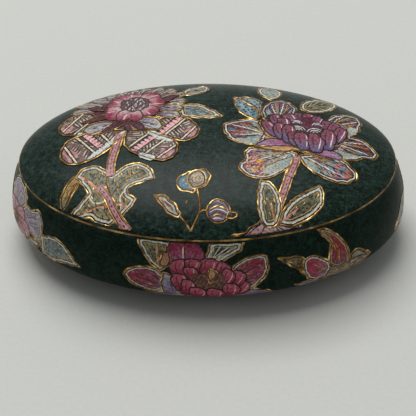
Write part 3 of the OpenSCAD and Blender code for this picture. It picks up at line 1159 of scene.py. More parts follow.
def lid_buds():
    """Three small buds on thin gold stems in the middle of the lid."""
    art = Motif("lid_buds", "lid")
    for path in ([(-2.2, -26.6), (-1.4, -31), (-1.2, -34.4), (-2.6, -38), (-4, -40.6)],
                 [(-8, -35.8), (-6, -38), (-4, -40.6)], [(-1.2, -35.2), (0, -34.4), (1.6, -34.6)]):
        art.stroke(smooth(path), 0.62, taper=False)
    side_bud = wash((0, SKY), (1, srgb(96, 140, 158)), spots=(WHITE, 1.6, 0.0))
    art.petal([(-3, -20), (-6, -20), (-8.8, -22.4), (-8.6, -26), (-6, -27.6), (-3, -27.4)], (-5, -20),
              (-5, -27), side_bud, 0.6, inner=0.75, width=0.26)
    art.petal([(-1.6, -18.6), (0.6, -18.6), (2, -21), (1.2, -24.6), (-1, -26)], (0, -18.6), (0, -26),
              side_bud, 0.6)
    middle = art.petal([(-2.4, -18.6), (0.2, -20.2), (0.6, -23.2), (-1, -26), (-3.6, -26.4), (-5.4, -24),
                        (-5.2, -20.6)], (-2.4, -19), (-2.4, -26), wash((0, CREAM), (1, srgb(196, 186, 160))),
                       0.55, inner=0.7, width=0.26)
    for radius, start, colour in ((2.3, 0.4, srgb(120, 72, 52)), (1.7, 2.0, None),
                                  (1.1, 3.6, srgb(120, 72, 52)), (0.6, 5.2, None)):
        scroll = [(-2.3 + radius * math.cos(a), -22.4 + radius * 1.2 * math.sin(a))
                  for a in np.linspace(start, start + 4.6, 8)]
        art.clipped(middle, smooth(scroll, spacing=0.3), 0.42, colour, 0.3)
    long_bud = art.petal([(-16.4, -28.6, 1), (-13, -29), (-10, -31.6), (-7.8, -35), (-8, -36.6, 1),
                          (-11, -35.4), (-13.8, -32.4)], (-16, -29), (-8, -36),
                         wash((0, OCHRE), (0.35, CREAM), (1, PALE_BLUE)), 0.6, inner=0.7, width=0.26)
    art.clipped(long_bud, smooth([(-14, -30.6), (-11.6, -32.2), (-9.6, -34.4)]), 1.1, MAROON, 0.2)
    art.clipped(long_bud, smooth([(-13.8, -30.6), (-11.8, -32.6), (-9.8, -34.8)]), 0.34, None, 0.2)
    art.petal([(6, -31.4), (8.6, -33, 1), (7.6, -34.6)], (6, -32), (8.6, -33), wash((0, MAUVE), (1, MAUVE)),
              0.5)
    striped = art.petal([(4.6, -30.6), (7.4, -31.6), (8.8, -34.4), (7.8, -37.2), (4.6, -38.4), (2, -37),
                         (1, -34.4), (2, -31.8)], (1, -34), (9, -34),
                        wash((0, srgb(120, 98, 118)), (1, srgb(166, 150, 160))), 0.5)
    for k in range(7):
        y = -31.6 - 0.95 * k
        art.clipped(striped, smooth([(1.4, y - 1.2), (4.6, y + 0.6), (8.6, y - 0.9)]), 0.5,
                    (srgb(226, 220, 218), srgb(56, 34, 48), None)[k % 3], 0.4)
    art.petal([(8.4, -34.8, 1), (10.4, -34.6), (11, -35.8), (9.4, -36.8), (7.8, -36.8, 1)], (8, -35),
              (11, -36), wash((0, srgb(40, 44, 40)), (1, srgb(60, 60, 50))), 0.5)
    for spot in ((-5.6, -32), (-5.4, -31.4)):
        art.dab(spot, 0.5, long=1.6, degrees=110)
    art.finish()


def lotus_petal(art, points, foot, tip, tint, marks):
    """An outer petal with a white edge, marbled inside and veined from its foot.

    marks is a list of (colour, share): how much of each colour is dashed over the inside.
    """
    loop = art.petal(points, foot, tip, tint, line=0)
    reach = math.dist(foot, tip)
    way = (np.array(tip, float) - foot) / reach
    side = quarter_turn(way)
    slant = heading((0, 0), way)
    for colour, share in marks:
        art.sprinkle(loop, 1.9, 0.7, colour, margin=1.4, long=2.6, degrees=slant, share=share)
    for k in (-3, -2, -1, 0, 1, 2, 3):
        end = np.array(tip) + side * k * reach * 0.13 - way * abs(k)
        path = smooth([tuple(foot + (end - foot) * 0.1), tuple(foot + (end - foot) * 0.5 + side * k * 0.25),
                       tuple(foot + (end - foot) * 0.95)])
        art.clipped(loop, path, 0.52, (INK, srgb(196, 146, 66), srgb(236, 236, 226))[k % 3], 1.35)
        for share in (0.3, 0.45, 0.6, 0.75):
            root = foot + (end - foot) * share
            art.clipped(loop, art.straight(root, root + way * 1.5 + side * (1.1 if k > 0 else -1.1)), 0.5,
                        INK, 1.4)
    art.closed_line(inset(loop, 1.4), 0.56, INK)
    art.rise()
    art.closed_line(inset(loop, 0.45), 0.5, INK)
    art.stroke(loop, 0.56, closed=True)
    return loop


def cup_petal(art, foot, tip, width, colours):
    """A cupped petal: one light and one dark stroke, inside a dark line.

    colours are those of its tip, middle and foot, and of its light, dark and outer lines.
    """
    tip_colour, mid_colour, foot_colour, pale, dark, edge = colours
    way = np.array(tip, float) - foot
    length = np.linalg.norm(way)
    degrees = heading((0, 0), way)
    half = width / 2
    lean = half * art.random.uniform(-0.35, 0.35)
    cup = [(-half * 0.5, 0), (-half * 0.9, length * 0.3), (-half, length * 0.7),
           (lean - half * 0.6, length * 0.97, 1), (lean + half * 0.1, length),
           (lean + half * 0.7, length * 0.9, 1), (half, length * 0.6), (half * 0.9, length * 0.3),
           (half * 0.5, 0)]
    loop = art.petal(turned(cup, foot, degrees), foot, tip,
                     wash((0, foot_colour), (0.35, mid_colour), (0.65, tip_colour), (1, tip_colour),
                          spots=(tip_colour, 4.0, -0.15), streaks=0.12), line=0)
    for side, colour, start in ((0.22, pale, 0.12), (-0.2, dark, 0.3)):
        bow = turned([(side * width * 0.7, length * start), (side * width * 1.1, length * 0.6),
                      (side * width * 0.9, length * 0.86)], foot, degrees)
        art.clipped(loop, smooth(bow), 0.6, colour, 0.3)
    art.rise()
    art.stroke(loop, CUP_LINE, edge, closed=True, wobble=0.2)


VIOLET_CUP = (srgb(164, 88, 108), srgb(150, 114, 146), srgb(116, 106, 152), srgb(230, 212, 220),
              srgb(70, 38, 58), INK)
ROSE_CUP = (srgb(232, 178, 184), srgb(214, 130, 146), CRIMSON, srgb(240, 206, 206), srgb(160, 56, 84),
            srgb(110, 56, 50))
PINK_CUP = (srgb(212, 100, 124), srgb(184, 44, 82), srgb(120, 14, 46), srgb(240, 170, 182), srgb(96, 8, 34),
            srgb(46, 12, 16))


def lotus_patch(art, points, foot, tip, first=PALE_BLUE, last=WHITE):
    """A pale turned-over edge on an outer petal."""
    art.fill(smooth(points, closed=True), foot, tip, wash((0, first), (1, last)))


def lotus_back_leaves(art):
    """Leaves that show behind the right flower."""
    veined_leaf(art, [(22.4, 22.4, 1), (18.8, 25.6), (17.4, 30), (18.4, 34.4, 1), (22, 35.6), (25.4, 33),
                      (26.6, 28.4), (25, 24.4)], (22.6, 23), (20, 35), PALE_BLUE, dashes=False)
    leaf = veined_leaf(art, [(33, 17, 1), (33, 21.4), (36.4, 26.4), (41, 29.6), (45.6, 29.8, 1), (46.4, 25.6),
                             (44.4, 20.6), (40.6, 16.6), (36.6, 15.4)], (34, 17), (45, 29), OLIVE,
                       dashes=False)
    art.fan((35, 18), [(44, 28), (40, 27), (44, 23), (37, 24), (42, 20)], 0.36, srgb(196, 190, 160), 0.2,
            0.95)
    art.clipped(leaf, smooth([(35, 17.6), (39, 22), (44.6, 28.4)]), 0.5, None, 0.9)
    dotted = wash((0, srgb(150, 190, 198)), (1, srgb(172, 206, 212)), edge=(WHITE, 0.9),
                  spots=(SKY, 3.5, 0.0))
    left = art.petal([(9, 22.6, 1), (10, 16), (13, 11), (17, 8.4, 1), (18.6, 12), (16, 16.6), (12.4, 20.6)],
                     (17, 9), (9.4, 22), dotted, 0.6, inner=1.1)
    right = art.petal([(9, 22.6, 1), (12.4, 23.6), (16.4, 22.8), (19.4, 20, 1), (18.8, 15), (18.4, 12.4, 1),
                       (16, 16.6), (12.4, 20.6)], (18, 13), (9.4, 22), dotted, 0.6, inner=1.0)
    for loop in (left, right):
        art.sprinkle(loop, 1.75, 0.75, INK, margin=1.3, long=1.25, degrees=120)


def lotus_scroll_petal(art, white_edge):
    """The lower left petal, pink at its tip and scattered with gold and crimson."""
    lower_left = lotus_petal(art, [(31, -9.4, 1), (29.4, -14), (26.6, -17.6), (22.6, -20.6), (18.6, -21.8),
                                   (14.4, -20.8), (11.8, -18), (11.8, -15.4), (13.4, -13), (13.2, -9.8),
                                   (15, -7.4, 1), (20, -6.6), (26, -7.4)], (29, -9), (13, -18),
                             wash((0, PALE_BLUE), (0.4, srgb(196, 192, 176)), (0.7, srgb(186, 116, 148)),
                                  (1, srgb(150, 60, 98)), edge=white_edge, spots=(WHITE, 5.0, -0.1)),
                             [(srgb(226, 170, 80), 0.35)])
    lotus_patch(art, [(30.4, -10.4, 1), (28.6, -14), (25.4, -17.4), (21.6, -19.6), (19.4, -19), (21, -16),
                      (25, -13)], (30, -11), (20, -19))
    art.lift += PATCH_RISE
    art.clipped(lower_left, smooth([(30, -10.6), (25, -13.2), (20.6, -16.2)]), 0.4, srgb(58, 34, 26), 0.3)
    art.clipped(lower_left, smooth([(29.4, -9.4), (24, -10.6), (20.4, -13)]), 0.4, srgb(58, 34, 26), 0.3)
    art.sprinkle(smooth([(14, -12), (19, -12.6), (20, -17), (17.4, -20), (13.6, -18)], closed=True), 1.35,
                 0.6, srgb(232, 182, 92), margin=0.2, long=1.5, degrees=60)
    art.sprinkle(smooth([(14, -10), (19, -11.6), (20, -17), (17.4, -20), (13.6, -18)], closed=True), 1.6, 0.5,
                 srgb(120, 24, 72), margin=0.2, long=1.4, degrees=20)
    art.dab((18.4, -14), 2.3, srgb(226, 160, 60), long=1.2, degrees=60)


def lotus_saucer(art):
    """Six outer petals, with the pale patches where their edges turn over."""
    white_edge = (srgb(236, 238, 226), 1.25)
    marble = wash((0, WHITE), (0.3, PALE_BLUE), (0.55, srgb(160, 94, 108)), (1, srgb(122, 58, 68)),
                  edge=white_edge, spots=(SKY, 4.2, -0.1), streaks=0.35)
    brown = wash((0, PALE_BLUE), (0.35, srgb(140, 122, 106)), (0.7, srgb(138, 76, 76)),
                 (1, srgb(108, 60, 46)), edge=white_edge, spots=(SKY, 4.0, -0.12), streaks=0.35)
    lotus_petal(art, [(19.6, 9, 1), (18.8, 13.4), (20, 18.2), (22.8, 21.4), (26.4, 22.4), (29.6, 20.4),
                      (31.4, 16), (30, 11, 1)], (25, 10), (25.5, 22),
                wash((0, PALE_BLUE), (0.4, srgb(176, 176, 172)), (0.75, srgb(170, 112, 128)),
                     (1, srgb(136, 78, 96)), edge=(srgb(206, 214, 218), 1.0), spots=(SKY, 4.0, 0.05)),
                [(CRIMSON, 0.25), (PURPLE_INK, 0.3)])
    lotus_petal(art, [(41.4, 11.6, 1), (44.4, 15.6), (48.6, 18.4), (52.6, 18.8), (54.2, 15.4), (53.6, 10.4),
                      (51.4, 5.4), (48.8, 3, 1), (46, 5.4)], (43, 8), (53, 17), brown,
                [(INK, 0.35), (OCHRE, 0.35)])
    lotus_patch(art, [(49, 3.4, 1), (48.6, 7), (49.6, 9.6), (52, 9.4), (52.4, 8), (50.8, 5)], (49, 4),
                (52, 9))
    lotus_petal(art, [(43, 1.4, 1), (47, 3), (51.8, 3.6), (55.8, 1.4), (58.8, -2.6), (57.4, -6), (53.4, -7),
                      (50.4, -8.8), (46.4, -9), (43.4, -5, 1)], (44, -1.5), (57.5, -3), brown,
                [(SKY, 0.3), (INK, 0.3), (ROSE, 0.3)])
    lotus_patch(art, [(44.4, -5, 1), (46, -8.2), (49.4, -8.2), (52, -6.8), (50, -6), (47, -5.6)], (45, -5),
                (51, -7))
    lotus_petal(art, [(5.4, 4.2, 1), (7.8, 6.6), (12, 8), (16.4, 8.2), (19.6, 6.4), (21, 1), (20, -4, 1),
                      (17, -5.6), (13, -5.2), (9.2, -3.8), (6.6, 0)], (20, 0.5), (6, 4), marble,
                [(INK, 0.25), (CRIMSON, 0.2)])
    lotus_patch(art, [(9, -3.2, 1), (12, -4.8), (17, -5.2), (18.6, -4.6), (16, -3.2), (12, -2.6)], (9, -3),
                (18, -5), WHITE, PALE_BLUE)
    lotus_scroll_petal(art, white_edge)
    lotus_petal(art, [(31.4, -10, 1), (33.4, -14), (37, -17.6), (41.6, -19.6), (46.6, -19.8), (50.6, -17.2),
                      (50.6, -13.6), (47.8, -10.6), (44.8, -8.6, 1), (38, -8.6)], (33, -10), (49, -16),
                wash((0, WHITE), (0.3, SKY), (0.55, PALE_BLUE), (0.8, srgb(206, 140, 160)),
                     (1, srgb(196, 130, 110)), edge=white_edge, spots=(SKY, 4.0, 0.05)),
                [(OCHRE, 0.4), (CRIMSON, 0.2), (INK, 0.2)])
    lotus_patch(art, [(32.4, -11, 1), (34.4, -14.6), (37, -17), (38.4, -16), (36, -13)], (32, -11), (38, -17),
                WHITE, PALE_BLUE)
    under = smooth([(20, 7), (23.6, -2), (30, -6.4), (38, -8), (44, -5.6), (47.4, 2), (46, 9), (38, 13),
                    (28, 12), (22, 12)], closed=True)
    art.fill(under, (34, 6), (34, -8), wash((0, srgb(70, 44, 56)), (1, srgb(110, 76, 96))))


def lotus_calyx(art):
    """A peach calyx and four violet sepals under the head."""
    calyx = wash((0, srgb(236, 170, 110)), (0.5, srgb(248, 196, 136)), (1, srgb(228, 160, 100)), streaks=0.15)
    art.petal([(14.8, -7.4, 1), (20, -6.4), (26, -5.8), (31, -6.2), (37, -8), (44.6, -10.2, 1), (40, -10.6),
               (35, -9.4), (31, -8), (26, -8.8), (20, -8.2)], (15, -7), (44, -10), calyx, 0.36)
    art.petal([(18.6, 8.6, 1), (20.6, 3.6), (24, -2, 1), (21.4, -2), (19, 2), (17.8, 6)], (18, 8), (24, -2),
              calyx, 0.36)
    sepal = wash((0, srgb(168, 62, 104)), (0.5, srgb(196, 132, 172)), (1, srgb(176, 164, 206)), streaks=0.15)
    for points, foot, tip in (([(16.4, -6.2, 1), (20, -2.8), (24.6, -2), (28.8, -4), (29.6, -6.2, 1),
                                (23, -6.4)], (29, -5), (17, -6)),
                              ([(35, -8.2, 1), (39, -6), (43.4, -5.6), (46.6, -8.2), (45.4, -10),
                                (39.6, -9.6)], (35, -8), (46, -8)),
                              ([(19.6, 8.6, 1), (24, 6), (27.4, 1), (28.6, -3.6, 1), (24.4, -1), (21, 4)],
                               (28, -3), (20, 8)),
                              ([(45, 10.6, 1), (48.4, 8.8), (48.8, 3), (46, -2), (43.4, -4, 1), (42.4, 4)],
                               (43, -3), (46, 10))):
        art.petal(points, foot, tip, sepal, 0.42)
        art.fan(foot, [tip], 0.4, srgb(210, 170, 204), 0.25, 0.85)
        art.fan(foot, [(tip[0], tip[1] - 1)], 0.34, srgb(96, 52, 110), 0.15, 0.8)


def lotus_head(art):
    """Rows of cupped petals round a heart with pale stamens."""
    for foot, tip, width in (
            ((33, 8), (32.4, 14), 4.6), ((35.5, 8.5), (35.6, 14.2), 4.8), ((38, 8), (39.4, 12.8), 4.6),
            ((30.6, 7.5), (28, 12.8), 5.2), ((41, 5.5), (42.6, 10.6), 4.8), ((43, 3), (45.4, 10), 4.4),
            ((24.8, 4.8), (23.4, 12), 4.2), ((27.6, 4), (26.2, 10), 4.6), ((24, -0.8), (20.2, 7.6), 4.4),
            ((44.6, -1.2), (47.4, 7.6), 4.6), ((26, -2), (24.6, 6.6), 4.4)):
        cup_petal(art, foot, tip, width, VIOLET_CUP)
    core = [turned([(0, 5.4)], (34.6, 6), 30 * k)[0] for k in range(12)]
    loop = art.petal(core, (34, 1), (34, 11), wash((0, srgb(84, 60, 66)), (1, srgb(112, 62, 92))), 0)
    for centre, radii in (((31.4, 3.0), (2.6, 1.7, 0.8)), ((37.6, 2.2), (3.0, 2.0, 1.0)),
                          ((38.6, 6.4), (2.2, 1.3)), ((31.0, 6.8), (2.2, 1.3))):
        for radius in radii:
            arc = smooth([(centre[0] + radius * math.cos(a), centre[1] + radius * 0.9 * math.sin(a))
                          for a in np.linspace(0.1, 3.0, 5)], spacing=0.3)
            art.clipped(loop, arc, 0.62, srgb(226, 222, 216), 0.05)
            art.clipped(loop, arc - (0, 0.5), 0.4, INK, 0.05)
    art.petal([(35.4, 12), (36.8, 10.4), (36.6, 7.4), (34.8, 5.4), (33.4, 7), (33.2, 10)], (34.6, 5.5),
              (35, 12), wash((0, srgb(126, 44, 70)), (1, MAROON)), line=0)
    for foot, tip, width in (
            ((28, -4), (28.6, 6), 4.8), ((41.2, -5.8), (42.6, 5.4), 5.4), ((30.6, -5.4), (30, 1.8), 4.4),
            ((33.4, -7), (32.8, 1.9), 6.0), ((37.2, -7.6), (38, 1.9), 5.8)):
        cup_petal(art, foot, tip, width, VIOLET_CUP)


def lid_lotus():
    """The right flower: a violet head in a saucer of white-edged marbled petals."""
    art = Motif("lid_lotus", "lid")
    lotus_back_leaves(art)
    lotus_saucer(art)
    lotus_calyx(art)
    lotus_head(art)
    art.finish()


def lid_lotus_leaves():
    """The stem, the two bottom leaves and the root of the right flower."""
    art = Motif("lid_lotus_leaves", "lid")
    stem(art, [(29.4, -14), (27.8, -21), (26.2, -26.6), (24.4, -32)], 2.7)
    root = art.petal([(9, -41.4, 1), (13, -40.6), (17, -38), (19.4, -36.4), (23, -37.4), (27.4, -36.2),
                      (32, -36, 1), (30.4, -38.2), (25, -40.4), (16, -41.8)], (22, -36), (22, -42),
                     wash((0, srgb(216, 204, 196)), (1, ROSE), spots=(WHITE, 2.5, 0.0)), 0.4)
    for tip in ((11, -41), (14, -41.4), (18.4, -41), (27, -39.6), (30.6, -37)):
        art.clipped(root, smooth([(21.6, -36.4), ((21.6 + tip[0]) / 2, -38.4), tip]), 0.5, INK, 0.3)
    veined_leaf(art, [(18.8, -22, 1), (21.8, -23.2), (24.2, -26.4), (25.6, -31), (24.8, -36), (23, -38.2, 1),
                      (19.6, -38), (18, -33.6), (17.8, -28), (18, -24.6)], (22, -37), (19.4, -22), SAGE)
    veined_leaf(art, [(24.8, -37.4, 1), (25.6, -34), (27.6, -30.8), (30.6, -27.6), (34.6, -24.6),
                      (38.4, -22, 1), (39.6, -25), (39, -29), (36, -33), (31.6, -35.8), (28, -37.2)],
                (26, -36), (38, -23), SAGE)
    art.stroke(smooth([(25.4, -36.4), (28.4, -34), (31, -31.4)]), 1.0, srgb(206, 150, 140))
    art.stroke(smooth([(23.4, -37), (22.4, -33), (22, -30)]), 0.7, srgb(190, 140, 90))
    art.lift = OVER_SAUCER
    stem(art, [(30.8, -10.8), (30.2, -14), (29.2, -17), (28.2, -20)], 2.7)
    art.finish()


def lid_side_leaves():
    """Leaves to the right of the left flower, and one behind it."""
    art = Motif("lid_side_leaves", "lid")
    long_leaf = [(-9.4, 10, 1), (-4, 9), (1, 9), (5.6, 10, 1), (2, 14), (-2.6, 17.2), (-7, 17.8), (-10, 16)]
    loop = veined_leaf(art, long_leaf, (-9, 12), (5, 10.4), srgb(126, 146, 148), dashes=False)
    art.hatch(loop, 5, 1.2, 0.32, srgb(206, 212, 208), dash=3.0, gap=1.0, margin=1.5)
    art.hatch(loop, 5, 1.3, 0.3, INK, dash=2.0, gap=1.5, margin=1.5)
    back_leaf = [(-10, 25, 1), (-6, 24.4), (-1.4, 27), (0.8, 31, 1), (-1, 33), (-5, 32), (-8.6, 29.4)]
    veined_leaf(art, back_leaf, (-10, 26), (0.6, 32), srgb(140, 160, 168), dashes=False)
    art.finish()


# ---------------------------------------------------------------- the base's paintings
def rose_head(art):
    """A full crimson peony with a brown heart, about 25 mm across."""
    back = wash((0, srgb(70, 18, 30)), (1, srgb(110, 26, 44)))
    art.petal([(-8.6, 8), (-6, 11.6), (-1, 12.2), (4.6, 12.4), (7.6, 9.6), (10.6, 7), (13.6, 3), (12.4, -2),
               (7, -4.6), (0, -5), (-5.6, -3), (-8.4, 1)], (2, 3), (6, 12), back, line=0.3)
    for foot, tip, width in (
            ((-7.4, 4.6), (-8.4, 12.4), 6.4), ((1.4, 6.6), (2.4, 13), 7.0), ((-4.8, 7.4), (-2.6, 12.6), 5.6),
            ((-6.4, -1), (-8.2, 6.6), 6.2), ((6.2, 6), (7.6, 11.4), 5.2), ((11, -3), (14.2, 3), 5.6),
            ((9.8, 1), (12.4, 7.6), 5.8), ((-3.8, 5), (-4.6, 9.6), 4.8), ((7.0, 2.0), (9.2, 8.4), 5.0)):
        cup_petal(art, foot, tip, width, PINK_CUP)
    core = [(-4, 3), (-3.6, 6.4), (0, 7), (2, 8.6), (5, 8), (7, 5.4), (7, 1.4), (4, -1), (-1, -0.6),
            (-3, 0.6)]
    loop = art.petal(core, (2, 0), (2, 8), wash((0, srgb(146, 96, 78)), (1, srgb(116, 66, 54))), line=0)
    art.hatch(loop, 65, 1.2, 0.5, srgb(52, 26, 24), dash=1.8, gap=0.5, margin=0.2)
    art.hatch(loop, 20, 1.8, 0.4, srgb(214, 180, 156), dash=0.9, gap=1.5, margin=0.4)
    art.petal([(2.2, 8.8), (4.6, 7.4), (3.4, 4.8), (2.2, 2.8), (1.4, 5.8)], (2.2, 3), (3, 9),
              wash((0, srgb(206, 140, 84)), (1, srgb(246, 186, 136))), 0.3)
    for foot, tip, width in (((-5.2, -3.6), (-4.6, 4.2), 5.2), ((8.8, -4.4), (9.2, 2.6), 6.0),
                             ((-1.6, -5.6), (-1.4, 0.8), 6.6), ((4.0, -6), (4.2, 0.4), 6.6)):
        cup_petal(art, foot, tip, width, PINK_CUP)


def base_peony_back(art):
    """Two leaves and two crimson petals behind the base's peony."""
    veined_leaf(art, [(-22.4, 18.9), (-20.8, 14), (-18, 10), (-14.4, 7, 1), (-11.8, 10), (-11, 14),
                      (-11, 18.9, 1)], (-14, 8), (-17, 19), srgb(112, 120, 88),
                rib=[(-14.6, 8), (-15.6, 13), (-16, 18)])
    white_leaf = veined_leaf(art, [(0.4, 11, 1), (1.4, 15), (2.4, 18.9, 1), (14.6, 18.9, 1), (13.2, 16),
                                   (9.4, 13.4), (5, 11.4)], (1, 11), (13, 18.6), srgb(70, 80, 74),
                             dashes=False)
    for tip in ((3.6, 18.2), (6.4, 18.2), (9.4, 18), (11.6, 17.2), (10, 15)):
        art.clipped(white_leaf, smooth([(2, 12), ((2 + tip[0]) / 2 + 0.3, (12 + tip[1]) / 2), tip]), 0.5,
                    WHITE, 0.5)
    for points, tip in (([(-7, 10, 1), (-10.4, 10.8), (-12.4, 14), (-11.6, 18.9, 1), (-6.6, 18.9, 1),
                          (-6.2, 14)], (-9, 19)),
                        ([(-6.4, 10, 1), (-6.2, 14), (-6.4, 18.9, 1), (-2, 18.9, 1), (0, 15.4), (-0.6, 11)],
                         (-3, 19))):
        loop = art.petal(points, (-6.5, 10), tip, wash((0, srgb(206, 160, 190)), (0.5, srgb(190, 80, 120)),
                         (1, srgb(158, 34, 72))), line=0)
        art.stroke(loop, 0.46, srgb(72, 24, 34), closed=True)
        art.sprinkle(loop, 2.1, 0.5, srgb(92, 20, 48), margin=0.8, long=1.5, degrees=80)
    art.fan((-6.4, 10.4), [(-6.8, 17.6)], 0.46, CREAM, 0.1, 0.95)
    art.petal([(-14.8, 9, 1), (-12, 9), (-10.8, 12), (-11.6, 15.4, 1), (-14, 14)], (-13, 9), (-12, 15),
              wash((0, PEACH), (1, srgb(206, 140, 130))), 0.44)


def base_peony_sides(art):
    """The gold-lined petals on either side of the base's peony."""
    side = wash((0, srgb(160, 156, 150)), (0.35, srgb(170, 84, 114)), (0.8, srgb(170, 26, 66)),
                (1, srgb(140, 34, 58)), edge=(srgb(240, 230, 200), 1.25),
                spots=(srgb(214, 120, 140), 3.2, -0.05), streaks=0.3)
    left = art.petal([(-27.2, 3.4), (-24.8, 6.6), (-20, 8.4), (-15.6, 7.4), (-12.4, 4), (-11.4, 0),
                      (-13.4, -2.6), (-18, -2.8), (-23.6, -0.6)], (-12, 0), (-26, 5), side, 0.6, inner=1.4)
    right = art.petal([(8.6, 6.8, 1), (10.6, 10.2), (14.2, 12.6), (18.4, 13.4), (21.6, 12.4, 1), (21.8, 7),
                       (19.6, 2.6), (15.4, -0.8), (11.6, 0.6)], (10, 4), (21, 12), side, 0.6, inner=1.4)
    for loop, foot, tips in ((left, (-12, 0), [(-25.5, 4), (-23.5, 6), (-20, 7), (-22.5, 1), (-17, 6)]),
                             (right, (9, 4), [(20.5, 11.6), (17, 11.8), (20, 7), (17.5, 4), (14, 11)])):
        art.fan(foot, tips, 0.4, srgb(62, 22, 34), 0.25, 0.85)
        slant = heading(foot, tips[0])
        art.sprinkle(loop, 1.9, 0.6, None, margin=1.5, long=2.4, degrees=slant, share=0.45)
        art.sprinkle(loop, 2.3, 0.5, srgb(120, 120, 168), margin=1.5, long=2.2, degrees=slant, share=0.35)


def base_peony_sepals(art):
    """Lilac sepals under the base's peony."""
    lilac = wash((0, srgb(206, 200, 216)), (0.6, LILAC), (1, srgb(186, 160, 180)), streaks=0.18)
    for points, foot, tip in (([(-13.6, 6.8, 1), (-10, 5), (-7.6, 0), (-8, -4), (-12, -4.4), (-14.4, 0)],
                               (-12, 6), (-9, -4)),
                              ([(-20, -3.6, 1), (-14, -2.8), (-8, -2.6), (-6, -6), (-10, -8.6), (-16, -7.6)],
                               (-7, -4), (-20, -4)),
                              ([(11, -1.6, 1), (16, -0.8), (21.6, -2.4), (24, -5, 1), (18, -7.6), (11, -7)],
                               (11, -3), (24, -5)),
                              ([(-6, -4, 1), (-8, -8), (-4, -12.4), (3, -13.6), (10, -12.4), (13.6, -8),
                                (11.4, -4, 1)], (3, -4), (3, -14))):
        art.petal(points, foot, tip, lilac, 0.46)
        art.fan(foot, [tip, (tip[0] + 1.6, tip[1] + 1.6), (tip[0] - 1.4, tip[1] - 1.4)], 0.36, PURPLE_INK,
                0.25, 0.85)


def base_peony(name, place=(0, 0)):
    """The peony under the middle of the lid's edge."""
    art = Motif(name, "base", place=place)
    base_peony_back(art)
    base_peony_sides(art)
    base_peony_sepals(art)
    rose_head(art)
    art.finish()


def base_end_flower(name, place=(0, 0), mirror=False):
    """The pale flower on the base's end: cream-edged lilac petals round a pink heart, and a dotted leaf."""
    art = Motif(name, "base", place=place, mirror=mirror)
    dotted = veined_leaf(art, [(-61, 6.8, 1), (-57, 8.2), (-53, 8.8), (-49, 6.8), (-46, 3.4), (-43.4, 0.6, 1),
                               (-49, -0.2), (-54, -1.8), (-61, -2, 1)], (-60, 3), (-44, 1),
                         srgb(146, 172, 176), dashes=False)
    art.sprinkle(dotted, 2.3, 0.8, INK, margin=1.6, long=1.2)
    art.clipped(dotted, smooth([(-60, 2.2), (-54, 2.4), (-46, 1.6)]), 0.5, OCHRE, 1.3)
    pale = wash((0, srgb(206, 160, 172)), (0.35, srgb(196, 184, 198)), (1, srgb(208, 202, 208)),
                edge=(srgb(236, 234, 216), 1.2), spots=(srgb(190, 150, 170), 4.0, -0.1), streaks=0.2)
    petals = (([(-84, 8.6, 1), (-85.4, 13.6), (-82.6, 18.2), (-77.6, 18.9), (-73, 17.4), (-70.8, 13.6),
                (-73.4, 9, 1)], (-79, 8), (-78, 19)),
              ([(-87, 9, 1), (-91, 13.6), (-96.4, 13), (-98.8, 8), (-95.6, 3.6), (-88.6, 3.6, 1)], (-87, 6),
               (-98, 9)),
              ([(-86, -1, 1), (-90.6, -4), (-88.6, -9.4), (-80.4, -11.4), (-74.4, -8.6), (-73, -3, 1)],
               (-80, -1), (-82, -11)),
              ([(-88, 3, 1), (-95, 2.4), (-98.4, -2), (-94, -6), (-88.6, -4.6), (-86.4, -1, 1)], (-87, 1),
               (-98, -3)),
              ([(-73, -1.4, 1), (-68, -0.6), (-62.4, -2), (-61.6, -5.6), (-68, -8.6), (-73.4, -7)], (-73, -3),
               (-61, -5)),
              ([(-73.6, 10, 1), (-71, 13.6), (-67.4, 13.8), (-63.4, 15.2), (-60.6, 12.4), (-60.2, 7.4),
                (-61, 2.4, 1), (-66, 3.6), (-71, 5.6)], (-72, 7), (-61, 12)))
    for points, foot, tip in petals:
        loop = art.petal(points, foot, tip, pale, 0.6, inner=1.35, width=0.42)
        way = np.array(tip, float) - foot
        side = quarter_turn(way)
        art.fan(foot, [tip + side * k for k in (-0.25, -0.1, 0.1, 0.25)], 0.34, srgb(112, 70, 92), 0.2, 0.82)
        art.sprinkle(loop, 2.4, 0.45, PURPLE_INK, margin=1.8, long=1.8, degrees=60, share=0.5)
    art.stroke(smooth([(-71, 10.6), (-66, 6.4), (-61.4, 3)]), 0.5, srgb(226, 200, 196))
    art.petal([(-68, 1.6, 1), (-64, 2.4), (-60.8, 2, 1), (-63, -0.2), (-67, -0.8)], (-68, 1), (-61, 2),
              wash((0, WHITE), (1, CREAM)), 0.5)
    for angle, reach, width in ((90, 7, 8.4), (40, 9.4, 8), (140, 8, 8), (0, 11, 8), (180, 9, 8),
                                (325, 9, 7.6), (215, 8, 8), (270, 7, 8.6)):
        foot, tip = turned([(0, 1.4), (0, reach)], (-78, 3.4), angle)
        cup_petal(art, foot, tip, width * 0.8, ROSE_CUP)
    core = [turned([(0, 2.6)], (-78, 3.4), 45 * k)[0] for k in range(8)]
    loop = art.petal(core, (-78, 1), (-78, 6), wash((0, MAROON), (1, srgb(140, 110, 90))), 0.3)
    art.sprinkle(loop, 1.1, 0.5, None, margin=0.4)
    art.finish()


